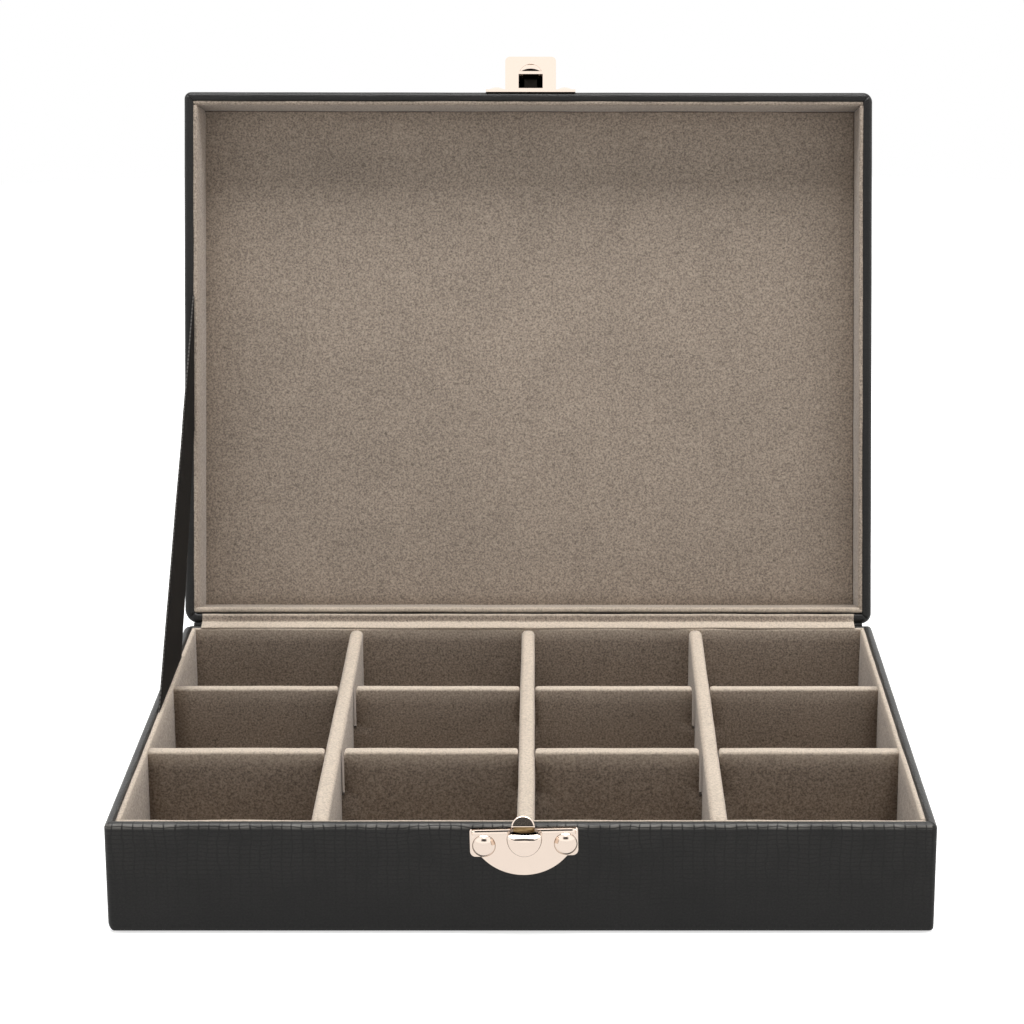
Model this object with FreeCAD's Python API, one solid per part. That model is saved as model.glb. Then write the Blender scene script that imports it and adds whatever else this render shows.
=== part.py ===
import FreeCAD, Part
import math
import os

Vec = FreeCAD.Vector
os.makedirs("parts", exist_ok=True)

# Frame: X to the right, Y to the back, Z up, origin at the centre of the underside.
# Lengths are in millimetres and angles in degrees. The lid is drawn shut, then opened.

# Case
box_width = 220.0
box_depth = 170.0
base_height = 31.0
lid_height = 22.0
rim_gap = 0.6             # between the two rims when the lid is shut
open_angle = 104.7        # the stay ribbon stops the lid here
wall_board = 2.2
cover = 0.5               # leatherette
base_corner_radius = 2.0
lid_corner_radius = 3.0
base_edge_radius = 0.8    # round the underside
lid_edge_radius = 2.0     # round the top
rim_radius = 1.6
floor_board = 2.4
top_board = 2.2
foot_pad = 0.4
foot_pad_inset = 4.0

# Suede linings on card
lining = 1.4
lining_round = 0.5
floor_lining = 1.2
ceiling_panel = 1.6
ceiling_round = 0.8
ceiling_clearance = 0.2

# Compartments
columns = 4
rows = 3
long_divider = 4.4        # thicknesses, the ones from front to back first
cross_divider = 3.4
divider_round = 1.5
long_divider_drop = 0.6   # divider tops below the rim
cross_divider_drop = 1.1
divider_slot_margin = 1.0
lap_clearance = 0.1

# Cloth hinge and stay ribbon
cloth_reach = 10.0        # outer cloth up and down from the fold
strip_thickness = 0.4
strip_proud = 0.1
strip_end = 5.0           # inner strip stops this far from each side
ribbon_thickness = 0.5
ribbon_tab = 8.0          # glued between wall and lining
ribbon_base_span = (25.2, 82.7)   # distances from the fold
ribbon_lid_span = (57.7, 105.0)

# Metal plates of the latch; heights are from the rim of their own half
latch_middle = 0.7        # set a little to the right
sheet = 0.8
plate_roll = 0.55         # rounded near edge of the lower plate
latch_half_width = 14.3
latch_near = -1.5
latch_shoulder = -9.8
latch_far = -14.8
catch_near = 0.0
catch_shoulder = 7.6
catch_far = 12.0
moon_half_width = 11.0
moon_corner = 1.9

# Rivets
rivet_spread = 10.9
latch_rivet_rise = -6.0
catch_rivet_rise = 4.4
rivet_radius = 3.2
catch_rivet_radius = 2.9
rivet_crown = 1.2
rivet_shank = 1.1
flare_radius = 1.9        # the far end is spread flush with the board
flare_depth = 0.7

# Latch button, sprung outward on a pin behind its plate
button_half_width = 4.65
button_top = -0.9
button_low = -9.85
button_reach = 7.3
button_side_reach = 5.4
button_foot = 1.2
button_bulge = 0.5
button_lip_round = 1.3
button_back = 0.15
button_clearance = 0.25
press_angle = 8.0
pin_radius = 0.5
pin_rise = -8.6
pin_depth = 0.3
pin_half_length = 4.9
pin_clearance = 0.05
lug_inner = 1.2
lug_radius = 1.0
ear_inner = 4.0
pocket_half_width = 5.6
pocket_span = (-10.2, -2.6)
pocket_depth = 1.6
spring_thickness = 0.25
spring_half_width = 1.8
spring_bend = -4.2
spring_tip = (5.4, -3.1)

# Tongue and hook on the button
tongue_half_width = 3.18
tongue_back = 3.2
tongue_thickness = 1.2
hook_reach = 6.5
hook_under = 1.8
hook_lip = 0.45
hook_apex = 3.8

# Flange, window and hood of the catch
flange_half_width = 8.1
flange_reach = 11.2
flange_corner = 1.5
window_near = 1.2
window_far = 5.7
window_half_width = 3.85
strike_bar = 0.9
hood_half_width = 4.7
hood_reach = 9.7
hood_height = 5.6
hood_shoulder = 3.4
scoop_depth = 0.5

# Places worked out from the sizes above
half_width = box_width / 2
half_depth = box_depth / 2
inner_half_width = half_width - cover - wall_board
inner_half_depth = half_depth - cover - wall_board
clear_half_width = inner_half_width - lining
clear_half_depth = inner_half_depth - lining
floor_low = foot_pad + cover
floor_top = floor_low + floor_board
divider_low = floor_top + floor_lining
cross_top = base_height - cross_divider_drop
long_top = base_height - long_divider_drop
lap_height = (divider_low + cross_top) / 2
lid_rim = base_height + rim_gap
lid_top = lid_rim + lid_height
ceiling = lid_top - cover - top_board
fold = Vec(0, half_depth, base_height + rim_gap / 2)
opening_turn = FreeCAD.Rotation(Vec(1, 0, 0), -open_angle)
side_axis = Vec(1, 0, 0)
outward = Vec(0, -1, 0)


def save(name, *solids):
    shape = solids[0] if len(solids) == 1 else Part.makeCompound(list(solids))
    for solid in shape.Solids:
        if not solid.isValid():
            raise ValueError(name + " is not a valid solid")
    shape.exportStep("parts/" + name + ".step")
    print(name, len(shape.Solids), "solid(s)", round(shape.Volume, 1), "mm3")


def opened(shape):
    turned = shape.copy()
    turned.rotate(fold, side_axis, -open_angle)
    return turned


def block(xs, ys, zs):
    size = (xs[1] - xs[0], ys[1] - ys[0], zs[1] - zs[0])
    return Part.makeBox(*size, Vec(xs[0], ys[0], zs[0]))


def both_ways(reach):
    return (-reach, reach)


def edges_at(shape, height):
    level = [edge.BoundBox for edge in shape.Edges]
    return [edge for edge, bounds in zip(shape.Edges, level)
            if abs(bounds.ZMin - height) < 1e-6 and abs(bounds.ZMax - height) < 1e-6]


def long_edges_at(shape, height, length):
    return [edge for edge in edges_at(shape, height) if edge.Length > length]


def uprights(shape):
    return [edge for edge in shape.Edges
            if edge.BoundBox.ZLength > shape.BoundBox.ZLength - 1e-6]


def case_outside(low, high, corner, low_radius, high_radius):
    shape = block(both_ways(half_width), both_ways(half_depth), (low, high))
    shape = shape.makeFillet(corner, uprights(shape))
    shape = shape.makeFillet(low_radius, edges_at(shape, low))
    return shape.makeFillet(high_radius, edges_at(shape, high))


# The boards lie one cover inside the case, with their edges bevelled to clear its roundings.
def case_boards(low, high, corner, low_radius, high_radius):
    low, high = low + cover, high - cover
    shape = block(both_ways(half_width - cover), both_ways(half_depth - cover), (low, high))
    shape = shape.makeChamfer(corner - cover, uprights(shape))
    shape = shape.makeChamfer(low_radius - cover, edges_at(shape, low))
    return shape.makeChamfer(high_radius - cover, edges_at(shape, high))


# The four walls of a box, as name and plan: the front and back pieces run right across.
def walls_between(outer_x, outer_y, inner_x, inner_y):
    return {
        "front": (both_ways(outer_x), (-outer_y, -inner_y)),
        "back": (both_ways(outer_x), (inner_y, outer_y)),
        "left": ((-outer_x, -inner_x), both_ways(inner_y)),
        "right": ((inner_x, outer_x), both_ways(inner_y)),
    }


def lining_walls(low, high, rim):
    plans = walls_between(inner_half_width, inner_half_depth, clear_half_width, clear_half_depth)
    pieces = {}
    for side, (xs, ys) in plans.items():
        piece = block(xs, ys, (low, high))
        rim_edges = long_edges_at(piece, rim, 2 * lining)
        pieces[side] = piece.makeFillet(lining_round, rim_edges)
    return pieces


def fold_strips():
    xs = both_ways(half_width - strip_end)
    ys = (clear_half_depth, half_depth - cover)
    base_top = base_height + strip_proud
    lid_low = lid_rim - strip_proud
    on_base = block(xs, ys, (base_top - strip_thickness, base_top))
    on_lid = block(xs, ys, (lid_low, lid_low + strip_thickness))
    return on_base, on_lid


def fold_cloths():
    xs = both_ways(half_width - max(base_corner_radius, lid_corner_radius))
    ys = (half_depth - cover, half_depth)
    on_base = block(xs, ys, (base_height - cloth_reach, base_height))
    on_lid = block(xs, ys, (lid_rim, lid_rim + cloth_reach))
    return on_base, on_lid


# The ribbon lies in the plane of the left wall's inner face, glued in at both ends.
def stay_ribbon():
    x = -inner_half_width

    def on_base(distance, rise):
        return Vec(x, half_depth - distance, base_height + rise)

    def on_lid(distance, rise):
        shut = Vec(x, half_depth - distance, lid_rim + rise)
        return fold + opening_turn.multVec(shut - fold)

    base_back, base_front = ribbon_base_span
    lid_back, lid_front = ribbon_lid_span
    corners = [
        on_base(base_front, -ribbon_tab), on_base(base_front, 0),
        on_lid(lid_front, 0), on_lid(lid_front, ribbon_tab),
        on_lid(lid_back, ribbon_tab), on_lid(lid_back, 0),
        on_base(base_back, 0), on_base(base_back, -ribbon_tab),
    ]
    outline = Part.makePolygon(corners + corners[:1])
    return Part.Face(outline).extrude(Vec(ribbon_thickness, 0, 0))


# Points on the front wall: sideways from the latch, out from the wall, and up from a rim.
def at_front(x, out, rise, rim=base_height):
    return Vec(latch_middle + x, -half_depth - out, rim + rise)


def front_block(xs, outs, rises, rim=base_height):
    near = at_front(xs[0], outs[1], rises[0], rim)
    size = at_front(xs[1], outs[0], rises[1], rim) - near
    return Part.makeBox(size.x, size.y, size.z, near)


def line(start, end):
    return Part.LineSegment(start, end).toShape()


def arc(start, middle, end):
    return Part.Arc(start, middle, end).toShape()


def prism(edges, direction):
    return Part.Face(Part.Wire(edges)).extrude(direction)


# A half-moon plate flat on the front wall, straight at its near edge and round at its far one.
def half_moon(near, shoulder, far, rim):
    away = math.copysign(1, far - near)
    edge = latch_half_width
    bend = shoulder - away * moon_corner
    slant = moon_corner * (1 - math.sqrt(0.5))

    def on(x, rise):
        return at_front(x, 0, rise, rim)

    return prism([
        line(on(-edge, near), on(edge, near)),
        line(on(edge, near), on(edge, bend)),
        arc(on(edge, bend), on(edge - slant, shoulder - away * slant),
            on(edge - moon_corner, shoulder)),
        line(on(edge - moon_corner, shoulder), on(moon_half_width, shoulder)),
        arc(on(moon_half_width, shoulder), on(0, far), on(-moon_half_width, shoulder)),
        line(on(-moon_half_width, shoulder), on(moon_corner - edge, shoulder)),
        arc(on(moon_corner - edge, shoulder), on(slant - edge, shoulder - away * slant),
            on(-edge, bend)),
        line(on(-edge, bend), on(-edge, near)),
    ], outward * sheet)


def rivet(x, rise, radius, rim):
    ball = (radius ** 2 + rivet_crown ** 2) / (2 * rivet_crown)
    inner_face = -cover - wall_board
    head = Part.makeSphere(ball, at_front(x, sheet + rivet_crown - ball, rise, rim))
    outside = front_block((x - ball, x + ball), (sheet, sheet + ball), (rise - ball, rise + ball), rim)
    shank = Part.makeCylinder(rivet_shank, sheet - inner_face,
                              at_front(x, inner_face, rise, rim), outward)
    flare = Part.makeCone(flare_radius, rivet_shank, flare_depth,
                          at_front(x, inner_face, rise, rim), outward)
    return head.common(outside).fuse([shank, flare]).removeSplitter()


def u_outline(half, low, top, out):
    centre = low + half
    return [
        line(at_front(-half, out, top), at_front(half, out, top)),
        line(at_front(half, out, top), at_front(half, out, centre)),
        arc(at_front(half, out, centre), at_front(0, out, low), at_front(-half, out, centre)),
        line(at_front(-half, out, centre), at_front(-half, out, top)),
    ]


# The button's outer form, or the hollow inside it when inset by the sheet.
def button_form(inset, back):
    half = button_half_width - inset
    low = button_low + inset
    top = button_top - inset
    reach = button_reach - inset
    side_reach = button_side_reach - inset
    foot = (button_foot - inset, low)
    lip = (reach, top)
    chord = math.dist(foot, lip)
    bulge = (button_bulge * (lip[1] - foot[1]) / chord, -button_bulge * (lip[0] - foot[0]) / chord)
    crown = ((foot[0] + lip[0]) / 2 + bulge[0], (foot[1] + lip[1]) / 2 + bulge[1])

    def beside(point):
        return at_front(-half, *point)

    face_on = prism(u_outline(half, low, top, -half), outward * (reach + half + half))
    side_on = prism([
        arc(beside(foot), beside(crown), beside(lip)),
        line(beside(lip), beside(back[1])),
        line(beside(back[1]), beside(back[0])),
        line(beside(back[0]), beside(foot)),
    ], side_axis * (2 * half))
    lip_edges = [edge for edge in side_on.Edges
                 if edge.BoundBox.YMax < -half_depth - reach + 1e-6]
    side_on = side_on.makeFillet(button_lip_round - inset, lip_edges)
    from_above = prism([
        arc(at_front(-half, side_reach, low), at_front(0, reach, low),
            at_front(half, side_reach, low)),
        line(at_front(half, side_reach, low), at_front(half, -half, low)),
        line(at_front(half, -half, low), at_front(-half, -half, low)),
        line(at_front(-half, -half, low), at_front(-half, side_reach, low)),
    ], Vec(0, 0, top - low))
    return face_on.common(side_on).common(from_above)


def latch_button():
    lean = math.tan(math.radians(press_angle))
    outer_back = [(button_back + (rise - pin_rise) * lean, rise)
                  for rise in (button_low, button_top)]
    inner_back = [(-button_half_width, button_low + sheet), (-button_half_width, button_top - sheet)]
    shell = button_form(0, outer_back).cut(button_form(sheet, inner_back))

    neck_low = button_top - sheet / 2
    middle = (hook_under + hook_apex) / 2
    curve = tongue_half_width * math.sqrt(0.75)
    face_on = prism([
        line(at_front(-tongue_half_width, 0, neck_low), at_front(tongue_half_width, 0, neck_low)),
        line(at_front(tongue_half_width, 0, neck_low), at_front(tongue_half_width, 0, hook_under)),
        arc(at_front(tongue_half_width, 0, hook_under), at_front(curve, 0, middle),
            at_front(0, 0, hook_apex)),
        arc(at_front(0, 0, hook_apex), at_front(-curve, 0, middle),
            at_front(-tongue_half_width, 0, hook_under)),
        line(at_front(-tongue_half_width, 0, hook_under), at_front(-tongue_half_width, 0, neck_low)),
    ], outward * button_reach)
    front = tongue_back + tongue_thickness
    section = [(tongue_back, neck_low), (front, neck_low), (front, hook_under),
               (hook_reach, hook_under), (hook_reach, hook_under + hook_lip),
               (front, hook_apex), (tongue_back, hook_apex)]
    corners = [at_front(-tongue_half_width, *point) for point in section]
    side_on = Part.Face(Part.makePolygon(corners + corners[:1]))
    tongue = face_on.common(side_on.extrude(side_axis * (2 * tongue_half_width)))

    lugs = []
    for x in (lug_inner, -lug_inner - sheet):
        eye = Part.makeCylinder(lug_radius, sheet, at_front(x, -pin_depth, pin_rise), side_axis)
        arm = front_block((x, x + sheet), (-pin_depth, sheet),
                          (pin_rise - lug_radius / 2, pin_rise + lug_radius))
        lugs.extend([eye, arm])
    bore = Part.makeCylinder(pin_radius + pin_clearance, 2 * button_half_width,
                             at_front(-button_half_width, -pin_depth, pin_rise), side_axis)
    return shell.fuse([tongue] + lugs).cut(bore).removeSplitter()


def latch_plate():
    plate = half_moon(latch_near, latch_shoulder, latch_far, base_height)
    near_edges = [edge for edge in edges_at(plate, base_height + latch_near)
                  if edge.BoundBox.YMax < -half_depth - sheet + 1e-6]
    plate = plate.makeFillet(plate_roll, near_edges)
    for x in (ear_inner, -ear_inner - sheet):
        ear = front_block((x, x + sheet), (-pin_depth - lug_radius, 0),
                          (pin_rise - lug_radius, pin_rise + lug_radius))
        plate = plate.fuse(ear)
    gap = button_clearance
    opening = prism(u_outline(button_half_width + gap, button_low - gap, 0, 0), outward * sheet)
    return plate.cut([opening, latch_pin()]).removeSplitter()


def latch_pin():
    return Part.makeCylinder(pin_radius, 2 * pin_half_length,
                             at_front(-pin_half_length, -pin_depth, pin_rise), side_axis)


# A bent leaf: it stands on the back of the pocket and leans on the inside of the button.
def latch_spring():
    back = -pocket_depth
    front = back + spring_thickness
    section = [(back, pocket_span[0]), (front, pocket_span[0]), (front, spring_bend),
               spring_tip, (spring_tip[0], spring_tip[1] + spring_thickness),
               (back, spring_bend + spring_thickness)]
    corners = [at_front(-spring_half_width, *point) for point in section]
    leaf = Part.Face(Part.makePolygon(corners + corners[:1]))
    return leaf.extrude(side_axis * (2 * spring_half_width))


def latch_pocket():
    return front_block(both_ways(pocket_half_width), (-pocket_depth, 0), pocket_span)


def hood_form(inset):
    half = hood_half_width - inset
    reach = hood_reach - inset
    height = hood_height - inset
    shoulder = hood_shoulder - inset
    straight = reach - half
    slant = math.sqrt(0.5)

    def on(x, out, rise):
        return at_front(x, out, rise, lid_rim)

    from_below = prism([
        line(on(-half, 0, 0), on(-half, straight, 0)),
        arc(on(-half, straight, 0), on(0, reach, 0), on(half, straight, 0)),
        line(on(half, straight, 0), on(half, 0, 0)),
        line(on(half, 0, 0), on(-half, 0, 0)),
    ], Vec(0, 0, height))
    side_on = prism([
        arc(on(-half, 0, height), on(-half, reach * slant, height * slant), on(-half, reach, 0)),
        line(on(-half, reach, 0), on(-half, 0, 0)),
        line(on(-half, 0, 0), on(-half, 0, height)),
    ], side_axis * (2 * half))
    face_on = prism([
        line(on(-half, 0, 0), on(-half, 0, shoulder)),
        arc(on(-half, 0, shoulder), on(0, 0, height), on(half, 0, shoulder)),
        line(on(half, 0, shoulder), on(half, 0, 0)),
        line(on(half, 0, 0), on(-half, 0, 0)),
    ], outward * reach)
    return from_below.common(side_on).common(face_on)


def catch_plate():
    def part(xs, outs, rises):
        return front_block(xs, outs, rises, lid_rim)

    wing = half_moon(catch_near, catch_shoulder, catch_far, lid_rim)
    flange = part(both_ways(flange_half_width), (0, flange_reach), (0, sheet))
    outer_corners = [edge for edge in flange.Edges
                     if abs(edge.BoundBox.YMax + half_depth + flange_reach) < 1e-6
                     and edge.BoundBox.ZLength > sheet / 2]
    flange = flange.makeFillet(flange_corner, outer_corners)
    hollow = hood_form(sheet)
    beyond_near = part(both_ways(hood_half_width), (window_near, hood_reach), (sheet, hood_height))
    window = part(both_ways(window_half_width), (window_near, window_far), (0, sheet))
    scoop_start = window_far + strike_bar
    scoop = hollow.common(part(both_ways(hood_half_width), (scoop_start, hood_reach),
                               (0, scoop_depth)))
    body = wing.fuse([flange, hood_form(0)])
    return body.cut([hollow.common(beyond_near), window, scoop]).removeSplitter()


def build_base():
    shape = (foot_pad, base_height, base_corner_radius, base_edge_radius, rim_radius)
    outer = case_outside(*shape)
    boards = case_boards(*shape)
    room = block(both_ways(inner_half_width), both_ways(inner_half_depth), (floor_top, lid_rim))
    linings = lining_walls(divider_low, base_height, base_height)
    strip = fold_strips()[0]
    cloth = fold_cloths()[0]
    ribbon = stay_ribbon()
    rivets = [rivet(x, latch_rivet_rise, rivet_radius, base_height)
              for x in both_ways(rivet_spread)]
    pocket = latch_pocket()

    save("base_cover", outer.cut(boards).cut([room, strip, cloth, pocket] + rivets))
    save("base_floor_board", boards.common(block(both_ways(half_width), both_ways(half_depth),
                                                 (floor_low, floor_top))))
    plans = walls_between(half_width, half_depth, inner_half_width, inner_half_depth)
    for side, (xs, ys) in plans.items():
        board = boards.common(block(xs, ys, (floor_top, base_height)))
        save("base_" + side + "_board", board.cut([pocket] + rivets))
    save("base_underside_pad", block(both_ways(half_width - foot_pad_inset),
                                     both_ways(half_depth - foot_pad_inset), (0, foot_pad)))
    save("base_floor_lining", block(both_ways(inner_half_width), both_ways(inner_half_depth),
                                    (floor_top, divider_low)))
    for side, piece in linings.items():
        save("base_lining_" + side, piece.cut([strip, ribbon]))
    save("hinge_strip_base", strip)
    save("hinge_cloth_base", cloth)
    save("stay_ribbon", ribbon)
    save("latch_plate", latch_plate().cut(rivets))
    save("latch_rivets", *rivets)
    save("latch_pin", latch_pin())
    save("latch_spring", latch_spring())
    save("latch_button", latch_button())


def build_dividers():
    column_pitch = (2 * clear_half_width + long_divider) / columns
    row_pitch = (2 * clear_half_depth + cross_divider) / rows
    column_lines = [column * column_pitch - clear_half_width - long_divider / 2
                    for column in range(1, columns)]
    row_lines = [row * row_pitch - clear_half_depth - cross_divider / 2 for row in range(1, rows)]

    def across(middle, thickness, margin=0.0):
        return (middle - thickness / 2 - margin, middle + thickness / 2 + margin)

    for name, x in zip(("left", "centre", "right"), column_lines):
        board = block(across(x, long_divider), both_ways(clear_half_depth), (divider_low, long_top))
        board = board.makeFillet(divider_round, long_edges_at(board, long_top, 2 * long_divider))
        slots = [block(across(x, long_divider, divider_slot_margin),
                       across(y, cross_divider, lap_clearance), (0, lap_height)) for y in row_lines]
        save("long_divider_" + name, board.cut(slots))
    for name, y in zip(("front", "rear"), row_lines):
        board = block(both_ways(clear_half_width), across(y, cross_divider), (divider_low, cross_top))
        board = board.makeFillet(divider_round, long_edges_at(board, cross_top, 2 * cross_divider))
        slots = [block(across(x, long_divider, lap_clearance),
                       across(y, cross_divider, divider_slot_margin), (lap_height, base_height))
                 for x in column_lines]
        save("cross_divider_" + name, board.cut(slots))


def build_lid():
    shape = (lid_rim, lid_top, lid_corner_radius, rim_radius, lid_edge_radius)
    outer = case_outside(*shape)
    boards = case_boards(*shape)
    room = block(both_ways(inner_half_width), both_ways(inner_half_depth), (base_height, ceiling))
    linings = lining_walls(lid_rim, ceiling, lid_rim)
    strip = fold_strips()[1]
    cloth = fold_cloths()[1]
    ribbon = stay_ribbon()
    rivets = [rivet(x, catch_rivet_rise, catch_rivet_radius, lid_rim)
              for x in both_ways(rivet_spread)]

    save("lid_cover", opened(outer.cut(boards).cut([room, strip, cloth] + rivets)))
    save("lid_top_board", opened(boards.common(
        block(both_ways(half_width), both_ways(half_depth), (ceiling, lid_top)))))
    plans = walls_between(half_width, half_depth, inner_half_width, inner_half_depth)
    for side, (xs, ys) in plans.items():
        board = boards.common(block(xs, ys, (lid_rim, ceiling)))
        save("lid_" + side + "_board", opened(board.cut(rivets)))
    for side, piece in linings.items():
        save("lid_lining_" + side, opened(piece.cut(strip)).cut(ribbon))
    panel_low = ceiling - ceiling_panel
    panel = block(both_ways(clear_half_width - ceiling_clearance),
                  both_ways(clear_half_depth - ceiling_clearance), (panel_low, ceiling))
    save("lid_ceiling_panel", opened(panel.makeFillet(ceiling_round, edges_at(panel, panel_low))))
    save("hinge_strip_lid", opened(strip))
    save("hinge_cloth_lid", opened(cloth))
    save("catch_plate", opened(catch_plate().cut(rivets)))
    save("catch_rivets", *[opened(piece) for piece in rivets])


build_base()
build_dividers()
build_lid()
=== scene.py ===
import math

import bmesh
import bpy
from mathutils import Matrix, Vector, noise


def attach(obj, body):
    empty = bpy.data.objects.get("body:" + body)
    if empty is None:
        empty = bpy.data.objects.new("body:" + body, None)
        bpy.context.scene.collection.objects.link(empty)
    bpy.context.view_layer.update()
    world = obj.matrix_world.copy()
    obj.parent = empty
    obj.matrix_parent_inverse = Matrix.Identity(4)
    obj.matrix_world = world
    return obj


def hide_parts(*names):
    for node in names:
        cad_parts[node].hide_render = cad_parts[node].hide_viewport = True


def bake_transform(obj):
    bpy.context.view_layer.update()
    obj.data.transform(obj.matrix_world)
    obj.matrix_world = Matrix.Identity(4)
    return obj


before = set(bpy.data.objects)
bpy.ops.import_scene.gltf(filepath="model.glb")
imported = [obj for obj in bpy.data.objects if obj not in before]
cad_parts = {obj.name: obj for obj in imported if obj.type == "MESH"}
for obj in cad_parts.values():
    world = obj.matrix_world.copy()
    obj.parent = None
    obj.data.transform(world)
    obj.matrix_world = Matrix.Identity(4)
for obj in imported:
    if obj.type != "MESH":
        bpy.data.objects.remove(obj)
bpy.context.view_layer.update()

mm = 0.001

# Sizes of the case in millimetres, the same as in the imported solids.
case = {
    "width": 220.0, "depth": 170.0, "baseHeight": 31.0, "lidHeight": 22.0, "rimGap": 0.6,
    "openAngle": 104.7, "wall": 2.7, "lining": 1.4, "footPad": 0.4, "floor": 4.5,
}
halfWidth = case["width"] / 2
halfDepth = case["depth"] / 2
rimTop = case["baseHeight"]
lidRim = rimTop + case["rimGap"]
lidTop = lidRim + case["lidHeight"]
innerX = halfWidth - case["wall"]
innerY = halfDepth - case["wall"]
clearX = innerX - case["lining"]
clearY = innerY - case["lining"]
fold = Vector((0, halfDepth, rimTop + case["rimGap"] / 2))
openLid = (Matrix.Translation(fold) @ Matrix.Rotation(math.radians(-case["openAngle"]), 4, "X")
           @ Matrix.Translation(-fold))


def toLinear(hexColour, shade=1.0):
    channels = [int(hexColour[k:k + 2], 16) / 255 for k in (1, 3, 5)]
    return [shade * (c / 12.92 if c <= 0.04045 else ((c + 0.055) / 1.055) ** 2.4) for c in channels] + [1]


# Inputs go in the node's own order, or by name. A socket is linked, and anything else is set.
def addNode(tree, kind, inputs=(), **settings):
    node = tree.nodes.new(kind)
    for key, value in settings.items():
        setattr(node, key, value)
    for place, given in inputs.items() if isinstance(inputs, dict) else enumerate(inputs):
        if isinstance(given, bpy.types.NodeSocket):
            tree.links.new(given, node.inputs[place])
        else:
            node.inputs[place].default_value = given
    return node


def newMaterial(name):
    material = bpy.data.materials.new(name)
    material.use_nodes = True
    tree = material.node_tree
    tree.nodes.clear()
    return material, tree


# Even ridges across an axis, whose pitch is in millimetres.
def ridges(tree, axis, pitch):
    turns = addNode(tree, "ShaderNodeMath", (axis, math.pi / (pitch * mm)), operation="MULTIPLY")
    sine = addNode(tree, "ShaderNodeMath", (turns.outputs[0],), operation="SINE")
    return addNode(tree, "ShaderNodeMath", (sine.outputs[0],), operation="ABSOLUTE").outputs[0]


# Microsuede: short polyester nap flocked on card, brushed one way. The eye gets a soft
# matt taupe with a salt-and-pepper mottle. The paler edge colour is painted light: the cloth is painted paler
# along top edges, where light from above falls.
# The real nap is too fine to show, so its mottle is drawn 0.6 mm wide.
suede = {
    "pile": "#b1a292", "pileDark": "#746960", "edge": "#cdbeac", "mottle": 0.6, "mottleRange": (0.34, 0.66),
    "nap": 26.0, "napRange": (0.3, 0.7), "stroke": (0.93, 1.07), "pit": 1.1, "pitRange": (0.27, 0.36),
    "pitShade": 0.72, "edgeLightRange": (0.3, 0.7), "edgeLightPatches": (0.55, 1.2), "relief": 0.45, "depth": 0.2,
    "rough": 0.92, "specular": 0.2, "sheen": 0.2, "sheenRough": 0.5,
}


def suedeMaterial():
    material, tree = newMaterial("microsuede_flocked")
    place = addNode(tree, "ShaderNodeTexCoord").outputs["Object"]
    fibre, nap, pit = (
        addNode(tree, "ShaderNodeTexNoise",
                {"Vector": place, "Scale": 1 / (suede[size] * mm), "Detail": detail, "Roughness": rough,
                 "Distortion": warp}).outputs["Fac"]
        for size, detail, rough, warp in (("mottle", 3.0, 0.65, 0.0), ("nap", 3.0, 0.6, 0.6),
                                          ("pit", 1.0, 0.5, 0.0)))
    mottle = addNode(tree, "ShaderNodeMapRange", (fibre, *suede["mottleRange"]))
    base = addNode(tree, "ShaderNodeMix", {"Factor": mottle.outputs[0], 6: toLinear(suede["pileDark"]),
                                           7: toLinear(suede["pile"])}, data_type="RGBA")
    stroke = addNode(tree, "ShaderNodeMapRange", (nap, *suede["napRange"], *suede["stroke"]))
    hole = addNode(tree, "ShaderNodeMapRange", (pit, *suede["pitRange"], suede["pitShade"]))
    shade = addNode(tree, "ShaderNodeMath", (stroke.outputs[0], hole.outputs[0]), operation="MULTIPLY")
    brushed = addNode(tree, "ShaderNodeVectorMath", {0: base.outputs[2], "Scale": shade.outputs[0]},
                      operation="SCALE")
    # Painted light: where the pressed attribute says, the pile is painted towards the paler edge colour, in
    # patches.
    edgeLight = addNode(tree, "ShaderNodeAttribute", attribute_name="pressed").outputs["Fac"]
    patchy = addNode(tree, "ShaderNodeMapRange", (fibre, *suede["edgeLightRange"], *suede["edgeLightPatches"]))
    paintedLight = addNode(tree, "ShaderNodeMath", (edgeLight, patchy.outputs[0]), operation="MULTIPLY", use_clamp=True)
    toned = addNode(tree, "ShaderNodeMix", {"Factor": paintedLight.outputs[0], 6: brushed.outputs[0],
                                            7: toLinear(suede["edge"])}, data_type="RGBA")
    bump = addNode(tree, "ShaderNodeBump", {"Height": fibre, "Strength": suede["relief"],
                                            "Distance": suede["depth"] * mm})
    shader = addNode(tree, "ShaderNodeBsdfPrincipled",
                     {"Base Color": toned.outputs[2], "Normal": bump.outputs[0],
                      "Roughness": suede["rough"], "Specular IOR Level": suede["specular"],
                      "Sheen Weight": suede["sheen"], "Sheen Roughness": suede["sheenRough"]})
    addNode(tree, "ShaderNodeOutputMaterial", {"Surface": shader.outputs[0]})
    return material


# Leatherette: PVC on cloth, embossed by a roller with rows of small oblong scales. The eye
# gets a near-black satin skin, faintly banded, whose scales catch the light on the rims.
# The pale rim colour is a painted highlight, laid along the rims' rolled edge.
leatherette = {
    "skin": "#1a1918", "rimHighlight": "#7a7772", "scales": ((2.75, 0.42), (1.2, 0.7)),    # pitch and groove share
    "sway": 9.0, "drift": (3.0, 2.4, 0.0), "flatRelief": 0.3, "band": 45.0, "bandRange": (0.3, 0.7),
    "bandShade": (0.85, 1.2), "grain": 0.5, "grainRelief": 1.2, "grainRange": (0.35, 0.65),
    "grainShade": (0.75, 1.3), "patchRange": (0.35, 0.6), "patches": (0.35, 1.0), "rough": (0.32, 0.46),
    "relief": 0.55, "depth": 0.12, "specular": 0.25,
}


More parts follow.
